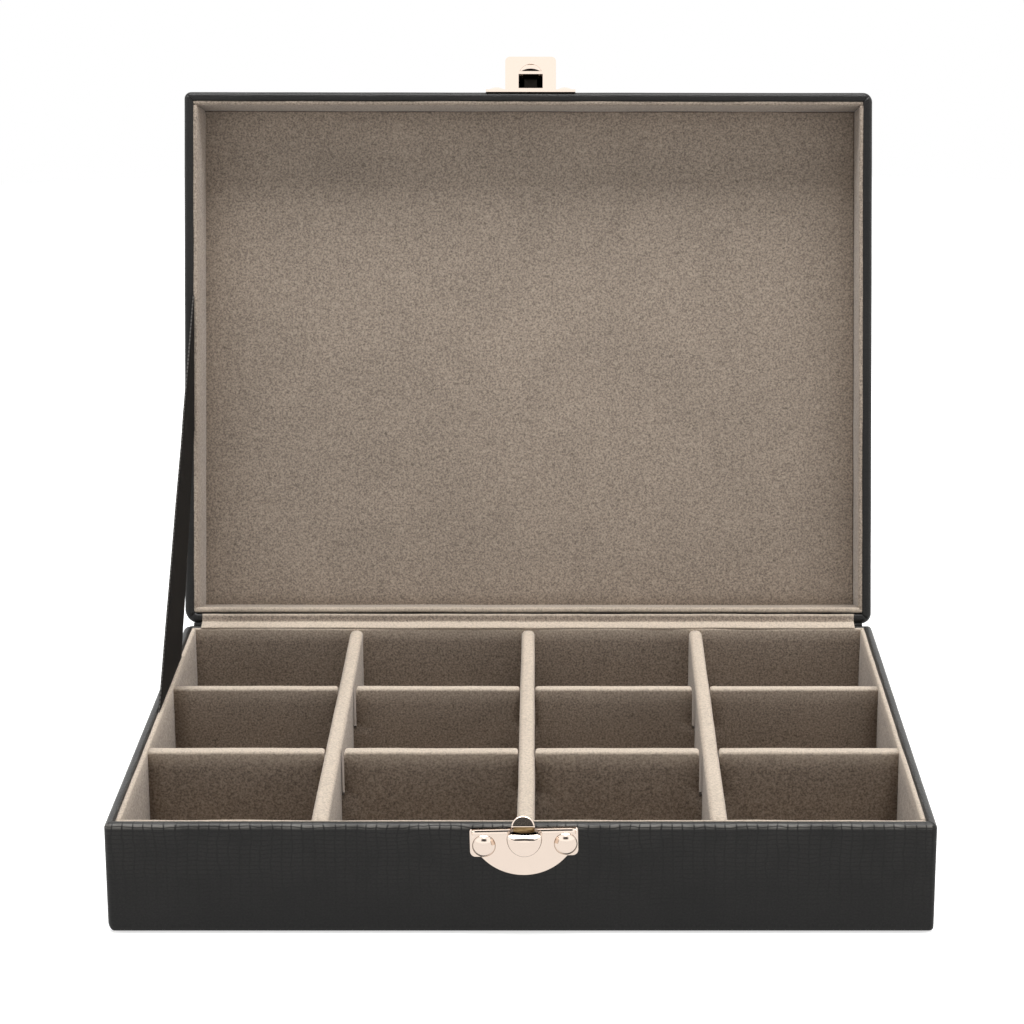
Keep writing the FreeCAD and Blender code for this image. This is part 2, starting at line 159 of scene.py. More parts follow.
def leatheretteMaterial():
    material, tree = newMaterial("leatherette_embossed")
    place = addNode(tree, "ShaderNodeUVMap", uv_map="cut").outputs[0]
    sway, grain, band = (
        addNode(tree, "ShaderNodeTexNoise", {"Vector": place, "Scale": 1 / (leatherette[size] * mm),
                                             "Detail": 2.0, "Distortion": warp}).outputs
        for size, warp in (("sway", 0.0), ("grain", 0.0), ("band", 0.8)))
    centred = addNode(tree, "ShaderNodeVectorMath", (sway["Color"], (0.5, 0.5, 0.5)), operation="SUBTRACT")
    drift = addNode(tree, "ShaderNodeVectorMath",
                    (centred.outputs[0], [c * mm for c in leatherette["drift"]]), operation="MULTIPLY")
    warped = addNode(tree, "ShaderNodeVectorMath", (place, drift.outputs[0]), operation="ADD")
    axes = addNode(tree, "ShaderNodeSeparateXYZ", (warped.outputs[0],)).outputs
    rows = [addNode(tree, "ShaderNodeMapRange", (ridges(tree, axes[k], pitch), 0.0, groove),
                    interpolation_type="SMOOTHSTEP").outputs[0]
            for k, (pitch, groove) in enumerate(leatherette["scales"])]
    pads = addNode(tree, "ShaderNodeMath", rows, operation="MULTIPLY").outputs[0]
    # The pads stand up where the cloth is pulled over a rim. There they are also painted paler, a painted
    # highlight along the rim's roll.
    rimHighlightMask = addNode(tree, "ShaderNodeAttribute", attribute_name="rimHighlight").outputs["Fac"]
    stretched = addNode(tree, "ShaderNodeMapRange", (rimHighlightMask, 0.0, 1.0, leatherette["flatRelief"]))
    raised = addNode(tree, "ShaderNodeMath", (pads, stretched.outputs[0]), operation="MULTIPLY")
    relief = addNode(tree, "ShaderNodeMath", (grain["Fac"], leatherette["grainRelief"], raised.outputs[0]),
                     operation="MULTIPLY_ADD")
    banded = addNode(tree, "ShaderNodeMapRange",
                     (band["Fac"], *leatherette["bandRange"], *leatherette["bandShade"]))
    speckled = addNode(tree, "ShaderNodeMapRange",
                       (grain["Fac"], *leatherette["grainRange"], *leatherette["grainShade"]))
    level = addNode(tree, "ShaderNodeMath", (banded.outputs[0], speckled.outputs[0]), operation="MULTIPLY")
    toned = addNode(tree, "ShaderNodeVectorMath",
                    {0: toLinear(leatherette["skin"])[:3], "Scale": level.outputs[0]}, operation="SCALE")
    patchy = addNode(tree, "ShaderNodeMapRange",
                     (sway["Fac"], *leatherette["patchRange"], *leatherette["patches"]))
    paintedLight = addNode(tree, "ShaderNodeMath", (pads, rimHighlightMask), operation="MULTIPLY")
    paintedLight = addNode(tree, "ShaderNodeMath", (paintedLight.outputs[0], patchy.outputs[0]), operation="MULTIPLY",
                   use_clamp=True)
    toned = addNode(tree, "ShaderNodeMix", {"Factor": paintedLight.outputs[0], 6: toned.outputs[0],
                                            7: toLinear(leatherette["rimHighlight"])}, data_type="RGBA")
    rough = addNode(tree, "ShaderNodeMapRange", (grain["Fac"], 0.0, 1.0, *leatherette["rough"]))
    bump = addNode(tree, "ShaderNodeBump", {"Height": relief.outputs[0], "Strength": leatherette["relief"],
                                            "Distance": leatherette["depth"] * mm})
    shader = addNode(tree, "ShaderNodeBsdfPrincipled",
                     {"Base Color": toned.outputs[2], "Normal": bump.outputs[0],
                      "Roughness": rough.outputs[0], "Specular IOR Level": leatherette["specular"]})
    addNode(tree, "ShaderNodeOutputMaterial", {"Surface": shader.outputs[0]})
    return material


# Steel stampings, polished and plated pale rose nickel: a bright warm mirror, a little
# hazy. Corners get painted shade: the nook is how far in mm a corner counts
# as closed in, and its colour is then painted down to a dark share. The hood is a ball's radius, and
# its middle is measured from the middle of the lid's front rim.
metal = {
    "plate": "#f3e1d2", "haze": 0.1, "hood": 5.9, "hoodMiddle": (0.7, -1.6, 0.5), "hoodShade": 0.015,
    "footShadeStrength": 0.6, "smear": 3.0, "hazeSpread": (0.8, 1.25), "polish": 0.8, "relief": 0.05, "depth": 0.02,
    "toneSpread": 0.96, "nook": 0.7, "nookRange": (0.1, 0.6), "nookShade": 0.25,
}


# A hood's inside, which faces its middle, is painted nearly black: painted shade where the hood closes in.
def metalMaterial(name, colour, haze, hoodMiddle=None):
    material, tree = newMaterial(name)
    place = addNode(tree, "ShaderNodeTexCoord").outputs["Object"]
    smear, polish = (
        addNode(tree, "ShaderNodeTexNoise", {"Vector": place, "Scale": 1 / (metal[size] * mm),
                                             "Detail": detail}).outputs["Fac"]
        for size, detail in (("smear", 3.0), ("polish", 2.0)))
    rough = addNode(tree, "ShaderNodeMapRange", (smear, 0.0, 1.0, *[haze * c for c in metal["hazeSpread"]]))
    tone = addNode(tree, "ShaderNodeMix", {"Factor": smear, 6: toLinear(colour, metal["toneSpread"]),
                                           7: toLinear(colour)}, data_type="RGBA")
    bump = addNode(tree, "ShaderNodeBump", {"Height": polish, "Strength": metal["relief"],
                                            "Distance": metal["depth"] * mm})
    # Painted shade: closed-in corners are painted darker.
    nook = addNode(tree, "ShaderNodeAmbientOcclusion", {"Distance": metal["nook"] * mm}, samples=8)
    kept = addNode(tree, "ShaderNodeMapRange", (nook.outputs["AO"], *metal["nookRange"], metal["nookShade"]))
    # Painted shade at the feet of the rivets and the button, where they meet the plate.
    footShade = addNode(tree, "ShaderNodeAttribute", attribute_name="footShade").outputs["Fac"]
    footLit = addNode(tree, "ShaderNodeMath", (footShade, -metal["footShadeStrength"], 1.0), operation="MULTIPLY_ADD")
    level = addNode(tree, "ShaderNodeMath", (kept.outputs[0], footLit.outputs[0]), operation="MULTIPLY")
    if hoodMiddle is not None:
        away = addNode(tree, "ShaderNodeVectorMath", (place, [c * mm for c in hoodMiddle]),
                       operation="SUBTRACT").outputs[0]
        facing = addNode(tree, "ShaderNodeTexCoord").outputs["Normal"]
        outwards = addNode(tree, "ShaderNodeVectorMath", (away, facing), operation="DOT_PRODUCT")
        inside = addNode(tree, "ShaderNodeMath", (outwards.outputs["Value"], 0.0), operation="LESS_THAN")
        span = addNode(tree, "ShaderNodeVectorMath", (away,), operation="LENGTH").outputs["Value"]
        near = addNode(tree, "ShaderNodeMath", (span, metal["hood"] * mm), operation="LESS_THAN")
        dark = addNode(tree, "ShaderNodeMath", (inside.outputs[0], near.outputs[0]), operation="MULTIPLY")
        level = addNode(tree, "ShaderNodeMix", {"Factor": dark.outputs[0], 2: level.outputs[0],
                                                3: metal["hoodShade"]})
    paintedShadeTone = addNode(tree, "ShaderNodeVectorMath", {0: tone.outputs[2], "Scale": level.outputs[0]},
                     operation="SCALE")
    shader = addNode(tree, "ShaderNodeBsdfPrincipled",
                     {"Base Color": paintedShadeTone.outputs[0], "Normal": bump.outputs[0],
                      "Roughness": rough.outputs[0], "Metallic": 1.0})
    addNode(tree, "ShaderNodeOutputMaterial", {"Surface": shader.outputs[0]})
    return material


# The hook's neck: a brown metal with fine dark streaks across. The brown and the streaks are a painted
# reflection of the surroundings, with painted shade under the hook.
brass = {
    "reflectedTone": "#a2865f", "streak": "#4a331c", "spacing": 0.7, "stretch": (0.12, 1.0, 1.0),
    "streakRange": (0.38, 0.62), "relief": 0.3, "depth": 0.03, "rough": 0.34,
}


def neckReflectionMaterial():
    material, tree = newMaterial("neck_reflection_painted")
    place = addNode(tree, "ShaderNodeTexCoord").outputs["Object"]
    drawn = addNode(tree, "ShaderNodeMapping", {"Vector": place, "Scale": brass["stretch"]})
    streaks = addNode(tree, "ShaderNodeTexNoise",
                      {"Vector": drawn.outputs[0], "Scale": 1 / (brass["spacing"] * mm), "Detail": 3.0,
                       "Roughness": 0.6}).outputs["Fac"]
    mask = addNode(tree, "ShaderNodeMapRange", (streaks, *brass["streakRange"]))
    tone = addNode(tree, "ShaderNodeMix", {"Factor": mask.outputs[0], 6: toLinear(brass["streak"]),
                                           7: toLinear(brass["reflectedTone"])}, data_type="RGBA")
    bump = addNode(tree, "ShaderNodeBump", {"Height": streaks, "Strength": brass["relief"],
                                            "Distance": brass["depth"] * mm})
    shader = addNode(tree, "ShaderNodeBsdfPrincipled",
                     {"Base Color": tone.outputs[2], "Normal": bump.outputs[0], "Metallic": 1.0,
                      "Roughness": brass["rough"]})
    addNode(tree, "ShaderNodeOutputMaterial", {"Surface": shader.outputs[0]})
    return material


# Grosgrain: a tight polyester ribbon with a fine cord across it and a looped selvedge. The
# eye gets a flat black, with a thin dotted line of lighter loops along each edge.
grosgrain = {
    "thread": "#171615", "valley": "#0f0e0e", "loop": "#565350", "rib": 0.8, "loopWide": 0.45,
    "loopPitch": 1.5, "relief": 0.4, "depth": 0.1, "rough": 0.75, "specular": 0.12,
}


def ribbonMaterial():
    material, tree = newMaterial("grosgrain_woven")
    place = addNode(tree, "ShaderNodeUVMap", uv_map="cut").outputs[0]
    axes = addNode(tree, "ShaderNodeSeparateXYZ", (place,)).outputs
    ribs, loops = (ridges(tree, axes[1], grosgrain[pitch]) for pitch in ("rib", "loopPitch"))
    tone = addNode(tree, "ShaderNodeMix", {"Factor": ribs, 6: toLinear(grosgrain["valley"]),
                                           7: toLinear(grosgrain["thread"])}, data_type="RGBA")
    border = addNode(tree, "ShaderNodeMapRange", (axes[0], 0.0, grosgrain["loopWide"] * mm, 1.0, 0.0))
    shown = addNode(tree, "ShaderNodeMath", (border.outputs[0], loops), operation="MULTIPLY")
    edged = addNode(tree, "ShaderNodeMix", {"Factor": shown.outputs[0], 6: tone.outputs[2],
                                            7: toLinear(grosgrain["loop"])}, data_type="RGBA")
    bump = addNode(tree, "ShaderNodeBump", {"Height": ribs, "Strength": grosgrain["relief"],
                                            "Distance": grosgrain["depth"] * mm})
    shader = addNode(tree, "ShaderNodeBsdfPrincipled",
                     {"Base Color": edged.outputs[2], "Normal": bump.outputs[0],
                      "Roughness": grosgrain["rough"], "Specular IOR Level": grosgrain["specular"]})
    addNode(tree, "ShaderNodeOutputMaterial", {"Surface": shader.outputs[0]})
    return material


# Grey millboard: recycled paper pressed into card, under every cloth. The eye gets a dull,
# finely clouded surface. The felt pad under the box is drawn in the same way, in black.
board = {"pulp": 1.2, "shade": 0.8, "relief": 0.3, "depth": 0.1, "rough": 0.85}


def boardMaterial(name, colour):
    material, tree = newMaterial(name)
    place = addNode(tree, "ShaderNodeTexCoord").outputs["Object"]
    pulp = addNode(tree, "ShaderNodeTexNoise", {"Vector": place, "Scale": 1 / (board["pulp"] * mm),
                                                "Detail": 4.0}).outputs["Fac"]
    tone = addNode(tree, "ShaderNodeMix", {"Factor": pulp, 6: toLinear(colour, board["shade"]),
                                           7: toLinear(colour)}, data_type="RGBA")
    bump = addNode(tree, "ShaderNodeBump", {"Height": pulp, "Strength": board["relief"],
                                            "Distance": board["depth"] * mm})
    shader = addNode(tree, "ShaderNodeBsdfPrincipled",
                     {"Base Color": tone.outputs[2], "Normal": bump.outputs[0], "Roughness": board["rough"]})
    addNode(tree, "ShaderNodeOutputMaterial", {"Surface": shader.outputs[0]})
    return material


hoodMiddle = openLid @ (Vector((0, -halfDepth, lidRim)) + Vector(metal["hoodMiddle"]))
finishes = {
    "suede": suedeMaterial(),
    "leatherette": leatheretteMaterial(),
    "plated_metal": metalMaterial("rose_nickel_plated", metal["plate"], metal["haze"]),
    "hooded_metal": metalMaterial("rose_nickel_hood", metal["plate"], metal["haze"], hoodMiddle),
    "neck_reflection": neckReflectionMaterial(),
    "spring_steel": metalMaterial("spring_steel_rolled", "#9a9b9c", 0.3),
    "ribbon": ribbonMaterial(),
    "greyboard": boardMaterial("greyboard_pressed", "#8a857c"),
    "underside_cloth": boardMaterial("bonded_cloth_black", "#1a1a1a"),
}
print("materials made")


def wobble(point, wave, seed):
    return noise.noise(Vector((point[0] / wave + seed, point[1] / wave, point[2] / wave)))


def meshOf(bm, name):
    mesh = bpy.data.meshes.new(name)
    bm.to_mesh(mesh)
    bm.free()
    return mesh


# The places in a face's grain map, from millimetres.
def mapFace(face, layer, places):
    for loop, place in zip(face.loops, places):
        loop[layer].uv = (place[0] * mm, place[1] * mm)


# Shapes are made in millimetres, and the lid's are made shut and turned open.
def addPiece(name, mesh, finish, body, replaced=(), turn=None):
    if turn is not None:
        mesh.transform(turn)
    mesh.transform(Matrix.Scale(mm, 4))
    piece = bpy.data.objects.new(name, mesh)
    bpy.context.scene.collection.objects.link(piece)
    mesh.materials.append(finishes[finish])
    mesh.polygons.foreach_set("use_smooth", [True] * len(mesh.polygons))
    mesh.update()
    if body:
        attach(piece, body)
    if replaced:
        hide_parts(*replaced)
    return piece


# Even marks from low to high, with an extra mark put in or taken in place of a near one.
def cuts(low, high, step, extra=()):
    count = max(1, round((high - low) / step))
    marks = [low + (high - low) * k / count for k in range(count + 1)]
    for mark in extra:
        nearest = min(range(len(marks)), key=lambda k: abs(marks[k] - mark))
        if 0 < nearest < len(marks) - 1 and abs(marks[nearest] - mark) < step * 0.45:
            marks[nearest] = mark
        elif min(abs(m - mark) for m in marks) > 1e-6:
            marks.append(mark)
    return sorted(set(marks))


# A card board of some thickness, with notches, its edges rounded as cloth rounds them.
def boardMesh(name, spans, thin, step, roundings, notches=()):
    flat = [axis for axis in range(3) if axis != thin]
    marks = []
    for k, axis in enumerate(flat):
        extra = [edge for notch in notches for edge in notch[k]
                 if spans[axis][0] < edge < spans[axis][1]]
        marks.append(cuts(*spans[axis], step, extra))
    bm = bmesh.new()
    corners = {}

    def corner(i, j, side):
        key = (i, j, side)
        if key not in corners:
            place = [0.0, 0.0, 0.0]
            place[flat[0]], place[flat[1]] = marks[0][i], marks[1][j]
            place[thin] = spans[thin][side]
            corners[key] = bm.verts.new(place)
        return corners[key]

    def kept(i, j):
        if not (0 <= i < len(marks[0]) - 1 and 0 <= j < len(marks[1]) - 1):
            return False
        middle = [(marks[0][i] + marks[0][i + 1]) / 2, (marks[1][j] + marks[1][j + 1]) / 2]
        return not any(all(span[0] < at < span[1] for span, at in zip(notch, middle))
                       for notch in notches)

    for i in range(len(marks[0]) - 1):
        for j in range(len(marks[1]) - 1):
            if not kept(i, j):
                continue
            ring = [(i, j), (i + 1, j), (i + 1, j + 1), (i, j + 1)]
            bm.faces.new([corner(*at, 1) for at in ring])
            bm.faces.new([corner(*at, 0) for at in reversed(ring)])
            for (a, b), beyond in zip(zip(ring, ring[1:] + ring[:1]),
                                      ((i, j - 1), (i + 1, j), (i, j + 1), (i - 1, j))):
                if not kept(*beyond):
                    bm.faces.new([corner(*b, 1), corner(*a, 1), corner(*a, 0), corner(*b, 0)])
    bmesh.ops.recalc_face_normals(bm, faces=bm.faces)
    for radius, segments, pick in roundings:
        edges = [e for e in bm.edges if len(e.link_faces) == 2 and e.calc_face_angle(0) > 0.9
                 and pick(sum((v.co for v in e.verts), Vector()) / 2)]
        bmesh.ops.bevel(bm, geom=edges, offset=radius, segments=segments, profile=0.5,
                        affect="EDGES", clamp_overlap=True)
    return meshOf(bm, name)


def markVertices(mesh, name, share):
    layer = mesh.attributes.new(name, "FLOAT", "POINT")
    layer.data.foreach_set("value", [share(v.co) for v in mesh.vertices])


# Leatherette skins, wrapped over each half from inside its rim to its flat end. Away is 1 for
# the base, whose wall goes down from its rim, and -1 for the lid. Corners go front right, back
# right, back left, front left, and side steps are along the front or back, then along a side.
skin = {
    "thickness": 0.42, "rimRound": 1.6, "rimCrown": 0.15, "innerRound": 0.7, "sharpEdge": 0.8,
    "tightest": 0.35, "cornerSteps": 14, "sideSteps": (44, 34), "wallStep": 3.0, "wave": 34.0,
    "waveDepth": 0.07, "waveEnd": 25.0, "mitreDepth": 0.3, "mitreWidth": 0.09, "mitreRise": 0.6,
    "rimHighlightAt": 0.75, "rimHighlightReach": 0.5, "rimHighlightInside": 0.2,
    "base": {"rim": rimTop, "end": case["footPad"], "away": 1, "wall": case["wall"], "edge": 2.2,
             "flats": (3.4, 8.0), "corners": (1.5, 1.2, 3.0, 1.8), "rimHighlight": 1.0, "seed": 3.0},
    "lid": {"rim": lidRim, "end": lidTop, "away": -1, "wall": case["wall"] + 0.35, "edge": 2.0,
            "flats": (3.4, 7.0, 14.0, 26.0, 42.0, 60.0, 76.0), "corners": (3.0, 3.4, 4.6, 2.2),
            "rimHighlight": 0.1, "seed": 9.0},
}


# Points round the case, each with its outward direction and how far round its corner it is.
def outlinePoints(inset, radii):
    points = []

    def addStraight(start, end, count):
        for m in range(1, count):
            points.append((start[0].lerp(end[0], m / count), end[1], None))

    for k, (sx, sy, turn) in enumerate(((1, -1, -90), (1, 1, 0), (-1, 1, 90), (-1, -1, 180))):
        radius = max(radii[k] - inset, skin["tightest"])
        centre = Vector((sx * (halfWidth - inset - radius), sy * (halfDepth - inset - radius), 0))
        corner = []
        for j in range(skin["cornerSteps"] + 1):
            angle = math.radians(turn + 90 * j / skin["cornerSteps"])
            away = Vector((math.cos(angle), math.sin(angle), 0))
            corner.append((centre + radius * away, away, j / skin["cornerSteps"]))
        if points:
            addStraight(points[-1], corner[0], skin["sideSteps"][k % 2])
        points += corner
    addStraight(points[-1], points[0], skin["sideSteps"][0])
    return points


# Sweeps a section of (inset, height) round the case. The grain map follows the outline.
def skinMesh(name, half):
    section = skinSection(half)
    rings = [outlinePoints(inset, half["corners"]) for inset, height in section]
    count = len(rings[0])
    runs = [0.0]
    for a, b in zip(rings[0], rings[0][1:] + rings[0][:1]):
        runs.append(runs[-1] + (a[0] - b[0]).length)
    lengths = [0.0]
    for a, b in zip(section, section[1:]):
        lengths.append(lengths[-1] + math.dist(a, b))
    bm = bmesh.new()
    layer = bm.loops.layers.uv.new("cut")
    grid = [[bm.verts.new(skinShape(half, at, inset, height, outward, along))
             for at, outward, along in ring] for (inset, height), ring in zip(section, rings)]
    for i in range(len(section) - 1):
        flat = section[i][1] == section[i + 1][1] and section[i][0] > 3
        for j in range(count):
            k = (j + 1) % count
            ring = [grid[i][j], grid[i][k], grid[i + 1][k], grid[i + 1][j]]
            places = [(runs[j], lengths[i]), (runs[j + 1], lengths[i]),
                      (runs[j + 1], lengths[i + 1]), (runs[j], lengths[i + 1])]
            mapFace(bm.faces.new(ring), layer, [v.co for v in ring] if flat else places)
    mapFace(bm.faces.new(grid[-1]), layer, [v.co for v in grid[-1]])
    bmesh.ops.recalc_face_normals(bm, faces=bm.faces)
    return meshOf(bm, name)


def arcOf(centre, radius, start, end, steps):
    angles = [math.radians(start + (end - start) * k / steps) for k in range(steps + 1)]
    return [(centre[0] + radius * math.cos(a), centre[1] + radius * math.sin(a)) for a in angles]


# From the inner side of the rim, over it and along the wall to the flat end.
def skinSection(half):
    r, ri, rim, away, wall = skin["rimRound"], skin["innerRound"], half["rim"], half["away"], half["wall"]
    end, edge = half["end"], half["edge"]
    section = [(wall, rim - away)]
    section += arcOf((wall - ri, rim - away * ri), ri, 0, 90 * away, 4)
    section += [(r + skin["rimCrown"], rim)]
    section += arcOf((r, rim - away * r), r, 90 * away, 180 * away, 6)
    section += [(0.0, z) for z in cuts(rim - away * r, end + away * edge, skin["wallStep"])[1:-1][::-away]]
    section += arcOf((edge, end + away * edge), edge, 180 * away, 270 * away, 6)
    return section + [(inset, end) for inset in half["flats"]]


# The cloth is a little slack on the walls and dips where it is mitred on the rim. The
# base's bottom edge is worn rounder on the left.
def skinShape(half, at, inset, height, outward, along):
    rim, end, edge, away = half["rim"], half["end"], half["edge"], half["away"]
    point = Vector((at.x, at.y, height))
    if away > 0 and abs(height - end) <= edge and inset <= edge:
        left = max(0.0, -outward.x) ** 2
        share = (skin["sharpEdge"] + (edge - skin["sharpEdge"]) * left) / edge
        point += outward * inset * (1 - share)
        point.z = end + (height - end) * share
    if 0.01 < abs(height - rim) < skin["waveEnd"]:
        point -= outward * abs(wobble(point, skin["wave"], half["seed"])) * skin["waveDepth"]
    if along is not None and abs(height - rim) < skin["mitreRise"]:
        point.z -= away * math.exp(-((along - 0.5) / skin["mitreWidth"]) ** 2) * skin["mitreDepth"]
    return point


def leatherettePiece(part, turn):
    half, name = skin[part], f"{part}_leatherette"
    mesh = skinMesh(name, half)

    # Painted highlight: strongest part way down the rim's outer roll, where the light from above catches it,
    # and faint everywhere inward of the roll.
    def rimHighlight(p):
        side = max(abs(p.x) - halfWidth, abs(p.y) - halfDepth)
        onRoll = math.exp(-((abs(p.z - half["rim"]) - skin["rimHighlightAt"]) / skin["rimHighlightReach"]) ** 2)
        return half["rimHighlight"] * (onRoll if side > -skin["rimRound"] else skin["rimHighlightInside"])

    markVertices(mesh, "rimHighlight", rimHighlight)
    piece = addPiece(name, mesh, "leatherette", part, [f"{part}_cover"], turn)
    cloth = piece.modifiers.new("cloth", "SOLIDIFY")
    cloth.thickness = skin["thickness"] * mm
    cloth.offset = -1.0


leatherettePiece("base", None)
leatherettePiece("lid", openLid)
print("leatherette skins made")


# Suede linings on card. A change makes one side drop, or stand in thicker, or lean in where
# it meets the panel. The pressed shares are painted light: how much paler the cloth is painted along its top
# edge, as lit from above.
lining = {
    "round": 0.55, "step": 5.0, "wave": 13.0, "edgeWave": 0.22, "faceWave": 0.12, "litEdgeReach": 1.3,
    "basePressed": 0.8, "lidPressed": 0.15, "hingeGap": 0.85, "hingePressed": 1.0, "panelPressed": 0.04,
    "baseLow": 3.4, "baseClear": 0.05, "lidClear": 0.3, "leanRise": 6.0, "edgeReach": 4.0, "faceStretch": 1.6,
    "baseChanges": {"front": {"drop": 0.2}}, "lidChanges": {"back": {"thicker": 1.1}, "left": {"lean": 0.7}},
    "floorStep": 8.0, "floorRound": 0.3, "floorLow": 3.3,
}


# Uneven hand-laid cloth: faces ripple a little and the free edge rises and falls.
def ripple(mesh, thin, edge, away, seed, faceWave, edgeWave):
    for vertex in mesh.vertices:
        p = vertex.co
        near = max(0.0, 1 - abs(p.z - edge) / lining["edgeReach"])
        lift = wobble(p, lining["wave"], seed) * edgeWave * near
        side = wobble(p, lining["wave"] * lining["faceStretch"], seed + 50) * faceWave
        p.z += away * lift
        p[thin] += side


def liningWalls(part, low, high, edge, away, turn):
    plans = {
        "front": ((-innerX, innerX), (-innerY, -clearY), 1),
        "back": ((-innerX, innerX), (clearY, innerY - (lining["hingeGap"] if turn else 0.0)), 1),
        "left": ((-innerX, -clearX), (-clearY, clearY), 0),
        "right": ((clearX, innerX), (-clearY, clearY), 0),
    }
    for k, (side, (xs, ys, thin)) in enumerate(plans.items()):
        change = lining[f"{part}Changes"].get(side, {})
        drop, lean = change.get("drop", 0.0), change.get("lean", 0.0)
        spans = (xs, (ys[0] - change.get("thicker", 0.0), ys[1]), (low, high - drop))
        mesh = boardMesh(f"{part}_suede_{side}", spans, thin, lining["step"],
                         [(lining["round"], 3, lambda middle: True)])
        ripple(mesh, thin, edge - drop, away, 10.0 * k + (3 if part == "lid" else 0),
               lining["faceWave"], lining["edgeWave"])
        for p in [vertex.co for vertex in mesh.vertices] if lean else ():
            if p.x > -innerX + lining["round"]:
                p.x += lean * min(1.0, (p.z - low) / lining["leanRise"])
        # Painted light: each lining's top edge is painted paler, fading over a millimetre or so below it.
        share = lining["hingePressed" if turn and side == "back" else f"{part}Pressed"]
        markVertices(mesh, "pressed",
                     lambda p: max(0.0, 1 - abs(p.z - edge + drop) / lining["litEdgeReach"]) * share)
        addPiece(f"{part}_suede_{side}", mesh, "suede", part, [f"{part}_lining_{side}"], turn)


floorTop = case["floor"]
ceiling = lidTop - case["wall"]
liningWalls("base", lining["baseLow"], rimTop - lining["baseClear"], rimTop, 1, None)
liningWalls("lid", lidRim + lining["lidClear"], ceiling, lidRim, -1, openLid)

floorSpans = ((-clearX, clearX), (-clearY, clearY), (lining["floorLow"], floorTop))
addPiece("base_suede_floor", boardMesh("base_suede_floor", floorSpans, 2, lining["floorStep"],
                                       [(lining["floorRound"], 2, lambda middle: True)]),
         "suede", "base", ["base_floor_lining"])

# The lid's padded panel swells to its middle, and its edges aren't quite straight.
panel = {
    "thickness": 1.6, "clearance": 0.05, "round": 0.45, "crown": 0.5, "swell": 14.0, "step": 5.0,
    "faceWave": 30.0, "edgeWave": 11.0, "waveDepth": 0.12,
}
panelX, panelY = clearX - panel["clearance"], clearY - panel["clearance"]
panelMesh = boardMesh("lid_suede_panel", ((-panelX, panelX), (-panelY, panelY),
                                          (ceiling - panel["thickness"], ceiling)), 2,
                      panel["step"], [(panel["round"], 3, lambda middle: True)])
for vertex in panelMesh.vertices:
    p = vertex.co
    if p.z < ceiling - 0.1:
        fall = max(0.0, min(1.0, (panelX - abs(p.x)) / panel["swell"])
                   * min(1.0, (panelY - abs(p.y)) / panel["swell"]))
        p.z -= panel["crown"] * fall * (2 - fall)
        p.z += wobble(p, panel["faceWave"], 5.0) * panel["waveDepth"]
    if abs(p.x) > panelX - 1 or abs(p.y) > panelY - 1:
        p.x += wobble(p, panel["edgeWave"], 7.0) * panel["waveDepth"]
        p.y += wobble(p, panel["edgeWave"], 17.0) * panel["waveDepth"]
# Painted light: the whole panel is painted a little paler, standing in for more light on it.
markVertices(panelMesh, "pressed", lambda p: lining["panelPressed"])
panelPiece = addPiece("lid_suede_panel", panelMesh, "suede", "lid", ["lid_ceiling_panel"], openLid)
print("suede linings made")

# The long dividers are cut a little thicker at the front and stand a little askew. Places and
# shifts are of a divider's middle, at the rear and at the front.
dividers = {
    "longThick": (4.15, 4.7), "longTop": 30.4, "crossThick": {"front": 4.0, "rear": 3.4},
    "crossTop": {"front": 30.55, "rear": 29.9}, "round": 1.35, "notchRound": 0.85, "foot": 0.3,
    "footRise": 6.0, "lap": 17.2, "slack": 0.12, "step": 5.0, "wave": 0.1, "pressed": 0.85,
    "litEdgeReach": {"front": 2.7, "rear": 1.2},
    "columns": {"left": (-54.05, -0.55, 0.65), "centre": (0.0, 0.0, 1.3), "right": (54.05, -0.75, -1.55)},
    "rows": {"front": -27.8, "rear": 27.53},
    "slits": {"left": (0.15, 0.9), "centre": (0.15, 0.15), "right": (0.9, 0.15)},
}


def longAt(side, y):
    place, rear, front = dividers["columns"][side]
    along = (clearY - y) / (2 * clearY)
    thick = dividers["longThick"]
    return place + rear + (front - rear) * along, thick[0] + (thick[1] - thick[0]) * along


def dividerPiece(kind, which, spans, thin, roundings, notches, seed, reach, shape=None):
    name, top = f"divider_{kind}_{which}", spans[2][1]
    mesh = boardMesh(name, spans, thin, dividers["step"], roundings, notches)
    for vertex in mesh.vertices if shape else ():
        shape(vertex.co)
    ripple(mesh, thin, top, 1, seed, dividers["wave"], dividers["wave"])
    # Painted light: each divider's top is painted paler, fading down its faces, as lit from above.
    markVertices(mesh, "pressed", lambda p: max(0.0, 1 - (top - p.z) / reach) * dividers["pressed"])
    addPiece(name, mesh, "suede", "base", [f"{kind}_divider_{which}"])


def longDivider(side, seed):
    middle = dividers["columns"][side][0]
    half = sum(dividers["longThick"]) / 4
    top = dividers["longTop"]

    def free(m):
        return m.z > top - 0.01 or (abs(m.y) > clearY - 0.01 and m.z > dividers["footRise"])

    def askew(p):
        centre, thick = longAt(side, p.y)
        p.x = centre + (p.x - middle) * thick / (2 * half)

    gaps = []
    for row, y in dividers["rows"].items():
        reach = dividers["crossThick"][row] / 2 + dividers["slack"]
        gaps.append(((y - reach, y + reach), (0.0, dividers["lap"] + dividers["slack"])))
    dividerPiece("long", side, ((middle - half, middle + half), (-clearY, clearY), (floorTop, top)), 0,
                 [(dividers["round"], 5, lambda m: free(m) and abs(abs(m.x - middle) - half) < 0.01),
                  (dividers["foot"], 2, lambda m: not free(m))],
                 gaps, seed, dividers["litEdgeReach"]["rear"], askew)


